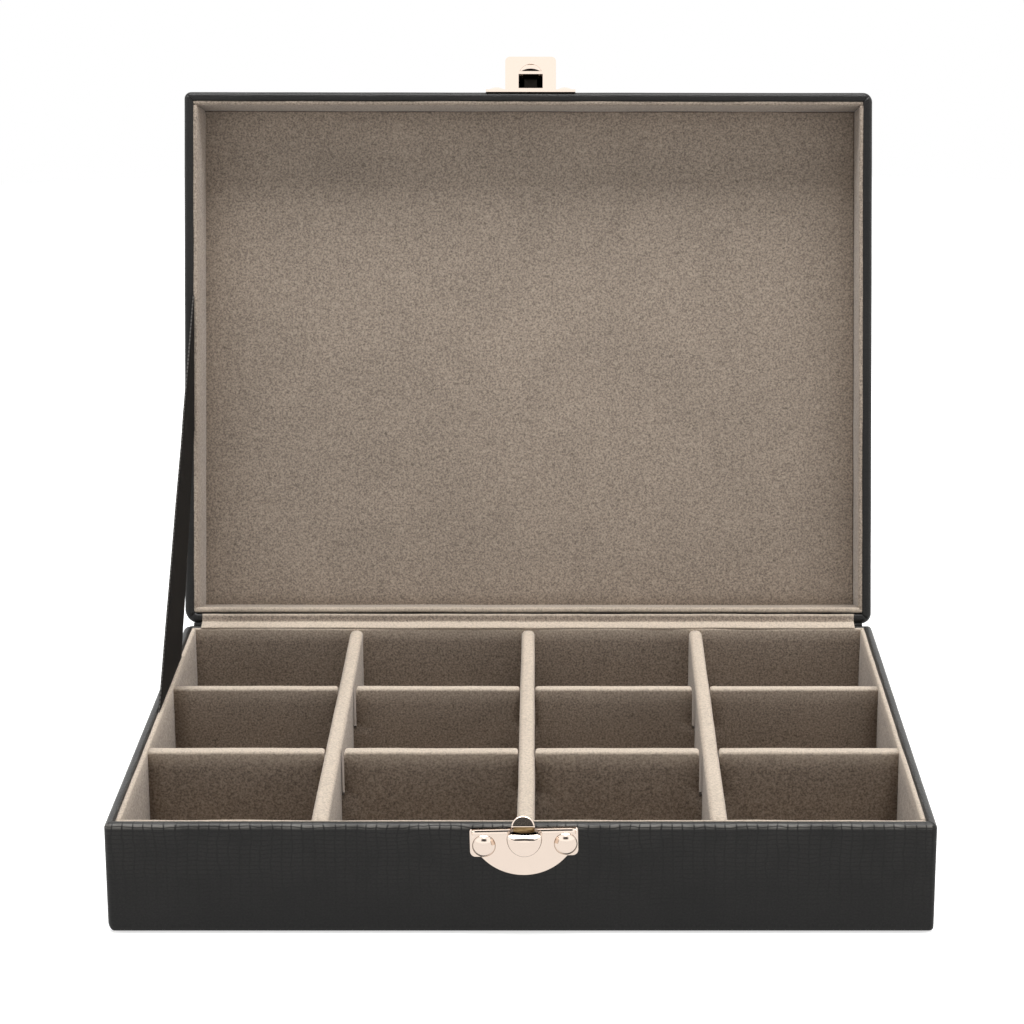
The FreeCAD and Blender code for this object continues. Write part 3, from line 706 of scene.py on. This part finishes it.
def crossDivider(row, seed):
    y = dividers["rows"][row]
    half = dividers["crossThick"][row] / 2
    top = dividers["crossTop"][row]
    gaps = []
    for side, (slitLeft, slitRight) in dividers["slits"].items():
        centre, thick = longAt(side, y)
        gaps.append(((centre - thick / 2 - slitLeft, centre + thick / 2 + slitRight),
                     (dividers["lap"] - dividers["slack"], 99.0)))
    ends = [at for span, rise in gaps for at in span]

    def atNotch(m):
        return m.z > top - 0.01 and min(abs(m.x - at) for at in ends) < 0.01

    def free(m):
        return m.z > top - dividers["notchRound"] - 0.01 and abs(abs(m.y - y) - half) < 0.01

    dividerPiece("cross", row, ((-clearX, clearX), (y - half, y + half), (floorTop, top)), 1,
                 [(dividers["notchRound"], 3, atNotch), (dividers["round"], 5, free),
                  (dividers["foot"], 2, lambda m: m.z < dividers["footRise"])],
                 gaps, seed, dividers["litEdgeReach"][row])


for k, side in enumerate(dividers["columns"]):
    longDivider(side, 20.0 + k)
for k, row in enumerate(dividers["rows"]):
    crossDivider(row, 30.0 + k)
print("dividers made")


# A strip of cloth of even thickness along a path of (y, z), swept across the case, with
# closed ends.
def stripMesh(name, path, thickness, reach, step, shape):
    loops = []
    for k, (y, z) in enumerate(path):
        before, after = path[max(k - 1, 0)], path[min(k + 1, len(path) - 1)]
        along = Vector((after[0] - before[0], after[1] - before[1])).normalized()
        loops.append((Vector((y, z)), Vector((-along.y, along.x)) * thickness / 2))
    runs = [0.0]
    for a, b in zip(path, path[1:]):
        runs.append(runs[-1] + math.dist(a, b))
    ring = [(at + off, run) for (at, off), run in zip(loops, runs)]
    ring += [(at - off, run) for (at, off), run in zip(reversed(loops), reversed(runs))]
    xs = cuts(-reach, reach, step)
    bm = bmesh.new()
    layer = bm.loops.layers.uv.new("cut")
    grid = [[bm.verts.new(shape(Vector((x, at.x, at.y)), run)) for at, run in ring] for x in xs]
    count = len(ring)
    for i in range(len(xs) - 1):
        for j in range(count):
            k = (j + 1) % count
            face = bm.faces.new([grid[i][j], grid[i + 1][j], grid[i + 1][k], grid[i][k]])
            mapFace(face, layer, [(xs[i], ring[j][1]), (xs[i + 1], ring[j][1]),
                                  (xs[i + 1], ring[k][1]), (xs[i], ring[k][1])])
    for row in (grid[0], grid[-1]):
        bm.faces.new(row)
    bmesh.ops.recalc_face_normals(bm, faces=bm.faces)
    return meshOf(bm, name)


# Cloth hinge: leatherette glued outside both backs, and a suede strip glued inside over the
# two rims. Each bends at the fold.
hinge = {
    "outside": ((85.08, 21.0), (85.08, 24.5), (85.08, 28.0), (85.08, 29.6), (85.06, 30.5),
                (85.1, 31.0), (85.3, 31.3), (85.75, 31.25), (86.8, 30.85), (89.0, 30.2),
                (92.0, 29.42), (94.94, 28.66)),
    "outsideThick": 0.4, "outsideReach": 107.0, "outsideStep": 6.0,
    "inside": ((81.15, 30.95), (81.3, 31.2), (81.7, 31.35), (82.5, 31.5), (83.7, 31.75), (84.4, 31.92),
               (84.75, 32.2), (84.88, 32.9), (85.08, 33.7), (85.28, 34.5)),
    "insideThick": 0.45, "insideReach": 104.2, "insideStep": 3.0, "wave": 17.0, "waveDepth": 0.3,
    "waveRise": 0.15, "waveRun": 5.0, "litFront": (84.5, 0.8), "litTop": (34.2, 0.9),
    "start": (0.0, 85.0, 30.3), "end": (0.0, 85.97, 31.05),
    "stripStart": (0.0, 83.7, 31.0), "stripEnd": (0.0, 84.75, 32.3),
}


def hingePiece(name, mesh, finish, nodes):
    piece = addPiece(name, mesh, finish, None, nodes)
    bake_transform(piece)


def straight(point, run):
    return point


def wavyFront(point, run):
    share = max(0.0, 1 - run / hinge["waveRun"])
    point.y += wobble(point, hinge["wave"], 41.0) * hinge["waveDepth"] * share
    point.z += wobble(point, hinge["wave"], 61.0) * hinge["waveRise"]
    return point


# The suede strip is painted paler at its front edge and where it goes up under the lid's lining: painted
# light where those edges are lit from above.
def stripLitEdge(p):
    (front, low), (top, high) = hinge["litFront"], hinge["litTop"]
    return low if p.y < front else high if p.z > top else 0.0


outerCloth = stripMesh("hinge_leatherette", hinge["outside"], hinge["outsideThick"], hinge["outsideReach"],
                       hinge["outsideStep"], straight)
hingePiece("hinge_leatherette", outerCloth, "leatherette",
           ["hinge_cloth_base", "hinge_cloth_lid"])
stripCloth = stripMesh("hinge_suede", hinge["inside"], hinge["insideThick"], hinge["insideReach"],
                       hinge["insideStep"], wavyFront)
markVertices(stripCloth, "pressed", stripLitEdge)
hingePiece("hinge_suede", stripCloth, "suede",
           ["hinge_strip_base", "hinge_strip_lid"])
print("hinge made")


# Stay ribbon: one flat gusset glued behind both left linings. Spans are distances from the
# fold along each rim, and a tab is what is glued in.
stay = {
    "baseSpan": (82.7, 32.5), "lidSpan": (105.0, 61.5), "tab": 8.0, "tabSteps": 3, "thickness": 0.45,
    "clear": 0.02, "across": 14, "along": 34, "wave": 26.0, "waveDepth": 0.22, "waveSteps": 6,
    "start": (52.5, 31.0), "lean": 26.0, "flat": (50.2, 165.0),
}


def stayMesh():
    def onBase(distance, rise):
        return Vector((halfDepth - distance, rimTop + rise))

    def onLid(distance, rise):
        at = openLid @ Vector((0, halfDepth - distance, lidRim + rise))
        return Vector((at.y, at.z))

    bm = bmesh.new()
    layer = bm.loops.layers.uv.new("cut")
    sheets = ([], [])
    places = {}
    tab, tabSteps = stay["tab"], stay["tabSteps"]
    for i in range(stay["across"] + 1):
        share = i / stay["across"]
        near, far = (first + (last - first) * share for first, last in (stay["baseSpan"], stay["lidSpan"]))
        path = [onBase(near, -tab), onBase(near, 0), onLid(far, 0), onLid(far, tab)]
        parts = zip(path, path[1:], (tabSteps, stay["along"], tabSteps))
        line = [a.lerp(b, k / steps) for a, b, steps in parts for k in range(steps)] + [path[3]]
        run = 0.0
        for sheet in sheets:
            sheet.append([])
        for k, at in enumerate(line):
            run += (at - line[k - 1]).length if k else 0.0
            fromTab = min(k, len(line) - 1 - k) - tabSteps
            sway = abs(wobble((0, at.x, at.y), stay["wave"], 71.0)) * stay["waveDepth"]
            sway *= min(1.0, max(0.0, fromTab / stay["waveSteps"]))
            for side, sheet in enumerate(sheets):
                x = -innerX + stay["clear"] + side * stay["thickness"] + sway
                sheet[-1].append(bm.verts.new((x, at.x, at.y)))
                places[sheet[-1][-1]] = (min(share, 1 - share) * near, run)

    def addFace(ring):
        mapFace(bm.faces.new(ring), layer, [places[vertex] for vertex in ring])

    rows, columns = len(sheets[0]), len(sheets[0][0])
    for i in range(rows - 1):
        for j in range(columns - 1):
            for sheet in sheets:
                addFace([sheet[i][j], sheet[i + 1][j], sheet[i + 1][j + 1], sheet[i][j + 1]])
    rim = [(i, 0) for i in range(rows)] + [(rows - 1, j) for j in range(1, columns)]
    rim += [(i, columns - 1) for i in reversed(range(rows - 1))]
    rim += [(0, j) for j in reversed(range(1, columns - 1))]
    for (a, b), (c, d) in zip(rim, rim[1:] + rim[:1]):
        addFace([sheets[0][a][b], sheets[0][c][d], sheets[1][c][d], sheets[1][a][b]])
    bmesh.ops.recalc_face_normals(bm, faces=bm.faces)
    area = sum(f.calc_area() for f in bm.faces) / 2
    return meshOf(bm, "stay_grosgrain"), area


stayCloth, stayArea = stayMesh()
stayPiece = addPiece("stay_grosgrain", stayCloth, "ribbon", None, ["stay_ribbon"])
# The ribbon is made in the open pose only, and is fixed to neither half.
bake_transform(stayPiece)
print("stay ribbon made, area", round(stayArea), "square mm")


# Latch: a stamped plate, two domed rivets, and a half-round button with a neck and an upright
# hook. Places are (x, z) on the front wall, and out is measured from its cloth.
latch = {
    "middle": 0.9, "tilt": 1.1, "plateTop": 30.2, "plateHalf": 14.35, "plateLow": 16.95, "plateThick": 1.0,
    "earLow": 22.35, "earIn": 11.4, "earStep": 0.6, "earRound": 1.6, "topRound": 0.7, "edge": 0.3,
    "rollTight": 1.2, "rollLoose": 2.8, "rollTurn": 35.0, "footShadeReach": 0.3, "footRows": (0.0, 0.15, 0.9),
    "innerStep": 0.08, "crownRows": (1.0, 0.96, 0.85, 0.7, 0.5, 0.3, 0.12),
    "rivets": {"left": (-9.72, 25.35), "right": (11.84, 25.95)}, "rivetRadius": 3.1, "rivetBall": 1.3,
    "rivetSeat": 0.12,
    "buttonShift": 0.1, "buttonHalf": 4.65, "buttonLow": 24.1, "buttonMiddle": 1.9, "buttonReach": 6.3,
    "buttonBack": 0.35, "backLean": 8.5, "backReach": 2.5, "pivot": 22.4, "ledge": 30.25, "ledgeHalf": 3.15,
    "lipTight": 2.3, "lipLoose": 3.3, "sideRound": 0.7, "crown": 0.12, "bulge": 0.8, "footShadeRise": 0.8,
    "neck": (29.2, 32.4), "neckHalf": 2.8, "neckOut": 3.6, "neckThick": 0.8, "neckRound": 0.2, "neckBow": 0.5,
    "hookShift": -0.25, "hookHalf": 3.12, "hookRise": 3.1, "hookLean": 29.0, "hookThick": 0.95,
    "hookEdge": 0.42, "hookFoot": (4.6, 32.05),
}


def turned(point, turn, centre):
    cos, sin = math.cos(math.radians(turn)), math.sin(math.radians(turn))
    x, z = point[0] - centre[0], point[1] - centre[1]
    return centre[0] + x * cos - z * sin, centre[1] + x * sin + z * cos


# An edge rolled from facing up to facing out, tight first and then looser: (inset, out).
def rolledEdge(tight, loose, steps=7):
    turn = math.radians(latch["rollTurn"])
    path = []
    for k in range(steps + 1):
        a = math.pi / 2 - (math.pi / 2 - turn) * k / steps
        path.append((tight * (1 - math.sin(a)), tight * math.cos(a)))
    inset, out = path[-1]
    for k in range(1, steps + 1):
        a = turn * (1 - k / steps)
        path.append((inset + loose * (math.sin(turn) - math.sin(a)),
                     out + loose * (math.cos(a) - math.cos(turn))))
    return path


# Rings of an outline, raised and drawn in by a profile, then closed towards the middle. The foot
# of the edge gets painted shade where the given test says so.
def stampMesh(name, outline, profiles, middle, crown, place, footShade=None, radial=False):
    count = len(outline)
    inward = []
    for k in range(count):
        a, b = Vector(outline[k - 1]), Vector(outline[(k + 1) % count])
        along = (b - a).normalized()
        inward.append((Vector(middle) - Vector(outline[k])).normalized() if radial
                      else Vector((-along.y, along.x)))
    steps = len(profiles[0])
    top = max(profile[-1][1] for profile in profiles)
    bm = bmesh.new()
    footShadeLayer = bm.verts.layers.float.new("footShade")
    foot = profiles[0][0][1]
    rows = [[bm.verts.new(place(*p, foot * share)) for p in outline] for share in latch["footRows"]]
    for i in range(steps):
        rows.append([bm.verts.new(place(*(Vector(p) + n * profile[i][0]),
                                        top - profile[-1][1] + profile[i][1]))
                     for p, n, profile in zip(outline, inward, profiles)])
        for vertex, p, profile in zip(rows[-1], outline, profiles):
            if footShade and footShade(*p):
                vertex[footShadeLayer] = max(0.0, 1 - profile[i][0] / latch["footShadeReach"])
    inner = [Vector(p) + n * (profile[-1][0] + latch["innerStep"])
             for p, n, profile in zip(outline, inward, profiles)]
    for share in latch["crownRows"] if crown else (1.0,):
        ring = [Vector(middle).lerp(p, share) for p in inner]
        rows.append([bm.verts.new(place(p.x, p.y, top + crown * (1 - share ** 2))) for p in ring])
    for lower, upper in zip(rows, rows[1:]):
        for j in range(count):
            k = (j + 1) % count
            bm.faces.new([lower[j], lower[k], upper[k], upper[j]])
    bm.faces.new(rows[-1])
    bm.faces.new(list(reversed(rows[0])))
    bmesh.ops.recalc_face_normals(bm, faces=bm.faces)
    return meshOf(bm, name)


def onWall(x, z, out):
    return (x, -halfDepth - out, z)


# A quarter round that starts at some height: (inset, out).
def roundEdge(radius, steps, low=0.0):
    angles = [math.pi / 2 * k / steps for k in range(steps + 1)]
    return [(radius * (1 - math.cos(a)), low + radius * math.sin(a)) for a in angles]


def latchPlate():
    half, top, low = latch["plateHalf"], latch["plateTop"], latch["plateLow"]
    ear, earIn, r, rt = latch["earLow"], latch["earIn"], latch["earRound"], latch["topRound"]
    sagitta = ear - low
    radius = (earIn ** 2 + sagitta ** 2) / (2 * sagitta)
    sweep = math.degrees(math.asin(earIn / radius))
    outline = arcOf((0, low + radius), radius, 270 - sweep, 270 + sweep, 48)
    step = latch["earStep"]
    outline += [(earIn + step, ear)] + arcOf((half - r, ear + r), r, 270, 360, 8)
    outline += arcOf((half - rt, top - rt), rt, 0, 90, 6)
    outline += [(x, top) for x in cuts(-half + rt, half - rt, 1.0)[1:-1][::-1]]
    outline += arcOf((-half + rt, top - rt), rt, 90, 180, 6)
    outline += arcOf((-half + r, ear + r), r, 180, 270, 8) + [(-earIn - step, ear)]
    thick, edge = latch["plateThick"], latch["edge"]
    rolled = rolledEdge(latch["rollTight"], latch["rollLoose"])
    plain = roundEdge(edge, len(rolled) - 1, thick - edge)
    rolled = [(inset, thick - rolled[-1][1] + out) for inset, out in rolled]
    profiles = [rolled if z > top - 0.01 else plain for x, z in outline]
    centre = (0, (top + low) / 2)
    outline = [turned(p, latch["tilt"], centre) for p in outline]
    outline = [(x + latch["middle"], z) for x, z in outline]
    return stampMesh("latch_plate_stamped", outline, profiles, (latch["middle"], centre[1]), 0.0, onWall)


def rivetDome(side, centre):
    radius, ball = latch["rivetRadius"], latch["rivetRadius"] * latch["rivetBall"]
    outline = arcOf(centre, radius, 0, 360, 56)[:-1]
    widest = math.asin(1 / latch["rivetBall"])
    seat, steps = latch["plateThick"] + latch["rivetSeat"], 11
    profile = [(0.0, seat)]
    for k in range(1, steps + 1):
        a = widest * (1 - k / (steps + 0.5))
        profile.append((radius - ball * math.sin(a), seat + ball * (math.cos(a) - math.cos(widest))))
    # Painted shade all round the rivet's foot.
    return stampMesh(f"latch_rivet_{side}", outline, [profile] * len(outline), centre, 0.0, onWall,
                     lambda x, z: True)


# The button is a thick half-round block: its top edge has the wide lip, the rest a small round.
def latchButton():
    low, ledge, full, half = (latch[key] for key in ("buttonLow", "ledge", "buttonHalf", "ledgeHalf"))
    widest, steps = low + full, 10
    angles = [math.pi / 2 * k / steps for k in range(1, steps + 1)]
    shoulder = [(half + (full - half) * math.cos(a), widest + (ledge - widest) * math.sin(a)) for a in angles]
    outline = arcOf((0, widest), full, 180, 360, 44) + shoulder
    outline += [(x, ledge) for x in cuts(-half, half, 0.5)[1:-1][::-1]]
    outline += [(-x, z) for x, z in reversed(shoulder)]
    lip = rolledEdge(latch["lipTight"], latch["lipLoose"])
    plain = roundEdge(latch["sideRound"], len(lip) - 1, lip[-1][1] - latch["sideRound"])
    rise = latch["buttonReach"] - latch["crown"] - lip[-1][1]
    profiles = []
    for x, z in outline:
        share = min(1.0, max(0.0, (z - widest) / (ledge - widest))) ** 2
        profiles.append([(a[0] * (1 - share) + b[0] * share, a[1] * (1 - share) + b[1] * share + rise)
                         for a, b in zip(plain, lip)])

    def place(x, z, out):
        # The back stands off the wall, more at the top, so that the button can turn in.
        back = latch["buttonBack"] + (z - latch["pivot"]) * math.tan(math.radians(latch["backLean"]))
        out -= latch["bulge"] * (x / full) ** 2 * out / latch["buttonReach"]
        if out <= latch["backReach"]:
            out = back + out * (1 - back / latch["backReach"])
        return onWall(latch["middle"] + latch["buttonShift"] + x, z, out)
    # Painted shade round the foot of the button's lower part.
    return stampMesh("latch_button_pressed", outline, profiles, (0, low + latch["buttonMiddle"]),
                     latch["crown"], place, lambda x, z: z < widest + latch["footShadeRise"], True)


# The hook's neck stands on the button's ledge, under the hook.
def latchNeck():
    half, (low, top), radius = latch["neckHalf"], latch["neck"], latch["neckRound"]
    xs, zs = cuts(-half, half, 0.5), cuts(low, top, 0.5)
    outline = [(x, low) for x in xs] + [(half, z) for z in zs[1:-1]]
    outline += [(x, top) for x in reversed(xs)] + [(-half, z) for z in reversed(zs[1:-1])]
    edge = roundEdge(radius, 3, latch["neckThick"] - radius)

    def place(x, z, out):
        return onWall(latch["middle"] + x, z, latch["neckOut"] + out - latch["neckBow"] * (x / half) ** 2)
    return stampMesh("latch_neck_reflecting", outline, [edge] * len(outline), (0, (low + top) / 2), 0.02, place)


# The hook is a half-round tongue that leans back over its foot.
def latchHook():
    half, rise, thick = latch["hookHalf"], latch["hookRise"], latch["hookThick"]
    angles = [math.radians(a) for a in range(0, 181, 6)]
    outline = [(half * math.cos(a), rise * math.sin(a)) for a in angles]
    outline += [(x, 0.0) for x in cuts(-half, half, 0.8)[1:-1]]
    lean = math.radians(latch["hookLean"])
    foot, base = latch["hookFoot"]

    def place(x, up, out):
        out -= thick
        return onWall(latch["middle"] + latch["hookShift"] + x,
                      base + up * math.cos(lean) + out * math.sin(lean),
                      foot - up * math.sin(lean) + out * math.cos(lean))
    edge = roundEdge(latch["hookEdge"], 5, thick - latch["hookEdge"])
    return stampMesh("latch_hook_formed", outline, [edge] * len(outline), (0.0, rise * 0.4), 0.0, place)


addPiece("latch_plate_stamped", latchPlate(), "plated_metal", "base", ["latch_plate"])
for side, centre in latch["rivets"].items():
    addPiece(f"latch_rivet_{side}", rivetDome(side, centre), "plated_metal", "base",
             ["latch_rivets"] if side == "left" else ())
addPiece("latch_button_pressed", latchButton(), "plated_metal", "button", ["latch_button"])
# The neck's colour is a painted reflection and painted shade.
addPiece("latch_neck_reflecting", latchNeck(), "neck_reflection", "button")
addPiece("latch_hook_formed", latchHook(), "plated_metal", "button")
print("latch made")


# The other solids keep their own shape and get their finish.
carried = {
    "plated_metal": ["catch_rivets"],
    "hooded_metal": ["catch_plate"],
    "spring_steel": ["latch_pin", "latch_spring"],
    "underside_cloth": ["base_underside_pad"],
    "greyboard": ["base_floor_board", "lid_top_board"] + [
        f"{part}_{side}_board" for part in ("base", "lid") for side in ("front", "back", "left", "right")],
}
for finish, names in carried.items():
    for name in names:
        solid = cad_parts[name]
        solid.data.materials.clear()
        solid.data.materials.append(finishes[finish])
print("solids dressed")


# A white paper floor and a light tent, brighter low down and dark overhead, where a long
# lamp hangs. Gloss sees it all white, but for a lamp high in front and a dim gap under it.
# A fade runs along x, y, z or aside (0 to 3), from one place to another and from one share to
# another, smoothly or evenly.
studio = {
    "floorRadius": 1.2, "paper": "#eeeeee", "floorSeen": 0.62, "floorGloss": 0.95, "white": "#ffffff",
    "lamp": 1.0, "lampFades": ((2, 0.74, 0.82, 0, 1, "SMOOTHSTEP"), (3, 0.1, 0.22, 1, 0, "LINEAR"),
                               (1, -0.2, 0.1, 1, 0, "LINEAR")),
    "gap": 1.15, "gapFades": ((2, 0.42, 0.5, 0, 1, "SMOOTHSTEP"), (2, 0.72, 0.8, 1, 0, "SMOOTHSTEP"),
                              (1, -0.74, -0.56, 1, 0, "SMOOTHSTEP"), (3, 0.25, 0.42, 1, 0, "LINEAR")),
    "ambientFades": ((2, 0.0, 0.75, 0.93, 0.0, "SMOOTHSTEP"),),
    "glowFades": ((2, 0.18, 0.3, 1.0, 1.22, "SMOOTHSTEP"),),
}


# Rays that come from the camera, and rays that come off or through something.
def rayKinds(tree):
    rays = addNode(tree, "ShaderNodeLightPath").outputs
    gloss = addNode(tree, "ShaderNodeMath", (rays["Is Glossy Ray"], rays["Is Transmission Ray"]),
                    operation="MAXIMUM")
    return rays["Is Camera Ray"], gloss.outputs[0]


def studioFloor():
    mesh = bpy.data.meshes.new("studio_floor")
    bm = bmesh.new()
    bmesh.ops.create_circle(bm, cap_ends=True, segments=96, radius=studio["floorRadius"])
    bm.to_mesh(mesh)
    bm.free()
    floor = bpy.data.objects.new("studio_floor", mesh)
    bpy.context.scene.collection.objects.link(floor)
    material, tree = newMaterial("paper_sweep_white")
    camera, gloss = rayKinds(tree)
    lift = addNode(tree, "ShaderNodeMath", (camera, studio["floorSeen"]), operation="MULTIPLY")
    share = addNode(tree, "ShaderNodeMath", (gloss, studio["floorGloss"]), operation="MULTIPLY")
    paper = addNode(tree, "ShaderNodeBsdfDiffuse", {"Color": toLinear(studio["paper"])})
    glow = addNode(tree, "ShaderNodeEmission",
                   {"Color": toLinear(studio["white"]), "Strength": lift.outputs[0]})
    both = addNode(tree, "ShaderNodeAddShader", (paper.outputs[0], glow.outputs[0]))
    white = addNode(tree, "ShaderNodeEmission", {"Color": toLinear(studio["white"]), "Strength": 1.0})
    mixed = addNode(tree, "ShaderNodeMixShader", (share.outputs[0], both.outputs[0], white.outputs[0]))
    addNode(tree, "ShaderNodeOutputMaterial", {"Surface": mixed.outputs[0]})
    mesh.materials.append(material)


def studioWorld():
    world = bpy.data.worlds.new("studio_tent")
    bpy.context.scene.world = world
    world.use_nodes = True
    tree = world.node_tree
    tree.nodes.clear()
    towards = addNode(tree, "ShaderNodeTexCoord").outputs["Generated"]
    x, y, z = addNode(tree, "ShaderNodeSeparateXYZ", (towards,)).outputs
    aside = addNode(tree, "ShaderNodeMath", (x,), operation="ABSOLUTE").outputs[0]
    shares = {}
    for form in ("lamp", "gap", "ambient", "glow"):
        for axis, *spread, smooth in studio[f"{form}Fades"]:
            fade = addNode(tree, "ShaderNodeMapRange", ((x, y, z, aside)[axis], *spread),
                           interpolation_type=smooth)
            if form in shares:
                fade = addNode(tree, "ShaderNodeMath", (shares[form], fade.outputs[0]), operation="MULTIPLY")
            shares[form] = fade.outputs[0]
    wall = addNode(tree, "ShaderNodeMath", (shares["gap"], -studio["gap"], shares["glow"]),
                   operation="MULTIPLY_ADD")
    tent = addNode(tree, "ShaderNodeMath", (shares["lamp"], studio["lamp"], wall.outputs[0]),
                   operation="MULTIPLY_ADD")
    camera, gloss = rayKinds(tree)
    level = addNode(tree, "ShaderNodeMix", {"Factor": gloss, 2: shares["ambient"], 3: tent.outputs[0]})
    seen = addNode(tree, "ShaderNodeMix", {"Factor": camera, 2: level.outputs[0], 3: 1.0})
    light = addNode(tree, "ShaderNodeBackground",
                    {"Color": toLinear(studio["white"]), "Strength": seen.outputs[0]})
    addNode(tree, "ShaderNodeOutputWorld", {"Surface": light.outputs[0]})


# Places and sizes in metres, power in watts.
softboxes = {
    "softbox_top": {"place": (0, -0.03, 1.3), "aim": (0, 0, 0), "size": (1.4, 0.55), "power": 21.0},
    "softbox_left": {"place": (-1.2, 0.1, 0.4), "aim": (0, 0, 0.1), "size": (0.8, 0.6), "power": 4.0},
    "softbox_right": {"place": (1.2, 0.1, 0.4), "aim": (0, 0, 0.1), "size": (0.8, 0.6), "power": 8.0},
}


# Only the box on top shows in gloss.
def softbox(name, place, aim, size, power):
    lamp = bpy.data.lights.new(name, "AREA")
    lamp.shape = "RECTANGLE"
    lamp.size, lamp.size_y = size
    lamp.energy = power
    box = bpy.data.objects.new(name, lamp)
    bpy.context.scene.collection.objects.link(box)
    box.location = place
    box.visible_glossy = name == "softbox_top"
    box.rotation_euler = (Vector(aim) - Vector(place)).to_track_quat("-Z", "Y").to_euler()


studioFloor()
studioWorld()
for name, box in softboxes.items():
    softbox(name, **box)


# The camera stands in front and a little above, and turns by pitch, yaw and roll in degrees.
# Its place is in millimetres, and its focal length and the centre of its lens are in pixels.
view = {
    "place": (10.875, -791.473, 315.959), "focalPixels": 2875.0, "centre": (575.0, 508.0),
    "pitch": 15.686, "yaw": 0.264, "roll": 0.107, "sensor": 36.0, "frame": 1024, "clip": (0.05, 30),
}


def placeCamera():
    pitch, yaw, roll = (math.radians(view[key]) for key in ("pitch", "yaw", "roll"))
    ahead = Vector((math.sin(yaw) * math.cos(pitch), math.cos(yaw) * math.cos(pitch), -math.sin(pitch)))
    right = Vector((math.cos(yaw), -math.sin(yaw), 0))
    up = right.cross(ahead)
    across = math.cos(roll) * right + math.sin(roll) * up
    upright = -math.sin(roll) * right + math.cos(roll) * up
    data = bpy.data.cameras.new("camera")
    data.sensor_width = view["sensor"]
    data.lens = view["focalPixels"] * view["sensor"] / view["frame"]
    data.shift_x = (view["frame"] / 2 - view["centre"][0]) / view["frame"]
    data.shift_y = (view["centre"][1] - view["frame"] / 2) / view["frame"]
    data.clip_start, data.clip_end = view["clip"]
    camera = bpy.data.objects.new("camera", data)
    bpy.context.scene.collection.objects.link(camera)
    turn = Matrix((across, upright, -ahead)).transposed().to_4x4()
    camera.matrix_world = Matrix.Translation(Vector(view["place"]) * mm) @ turn
    bpy.context.scene.camera = camera


placeCamera()
bpy.context.scene.view_settings.view_transform = "Standard"
print("studio and camera set")
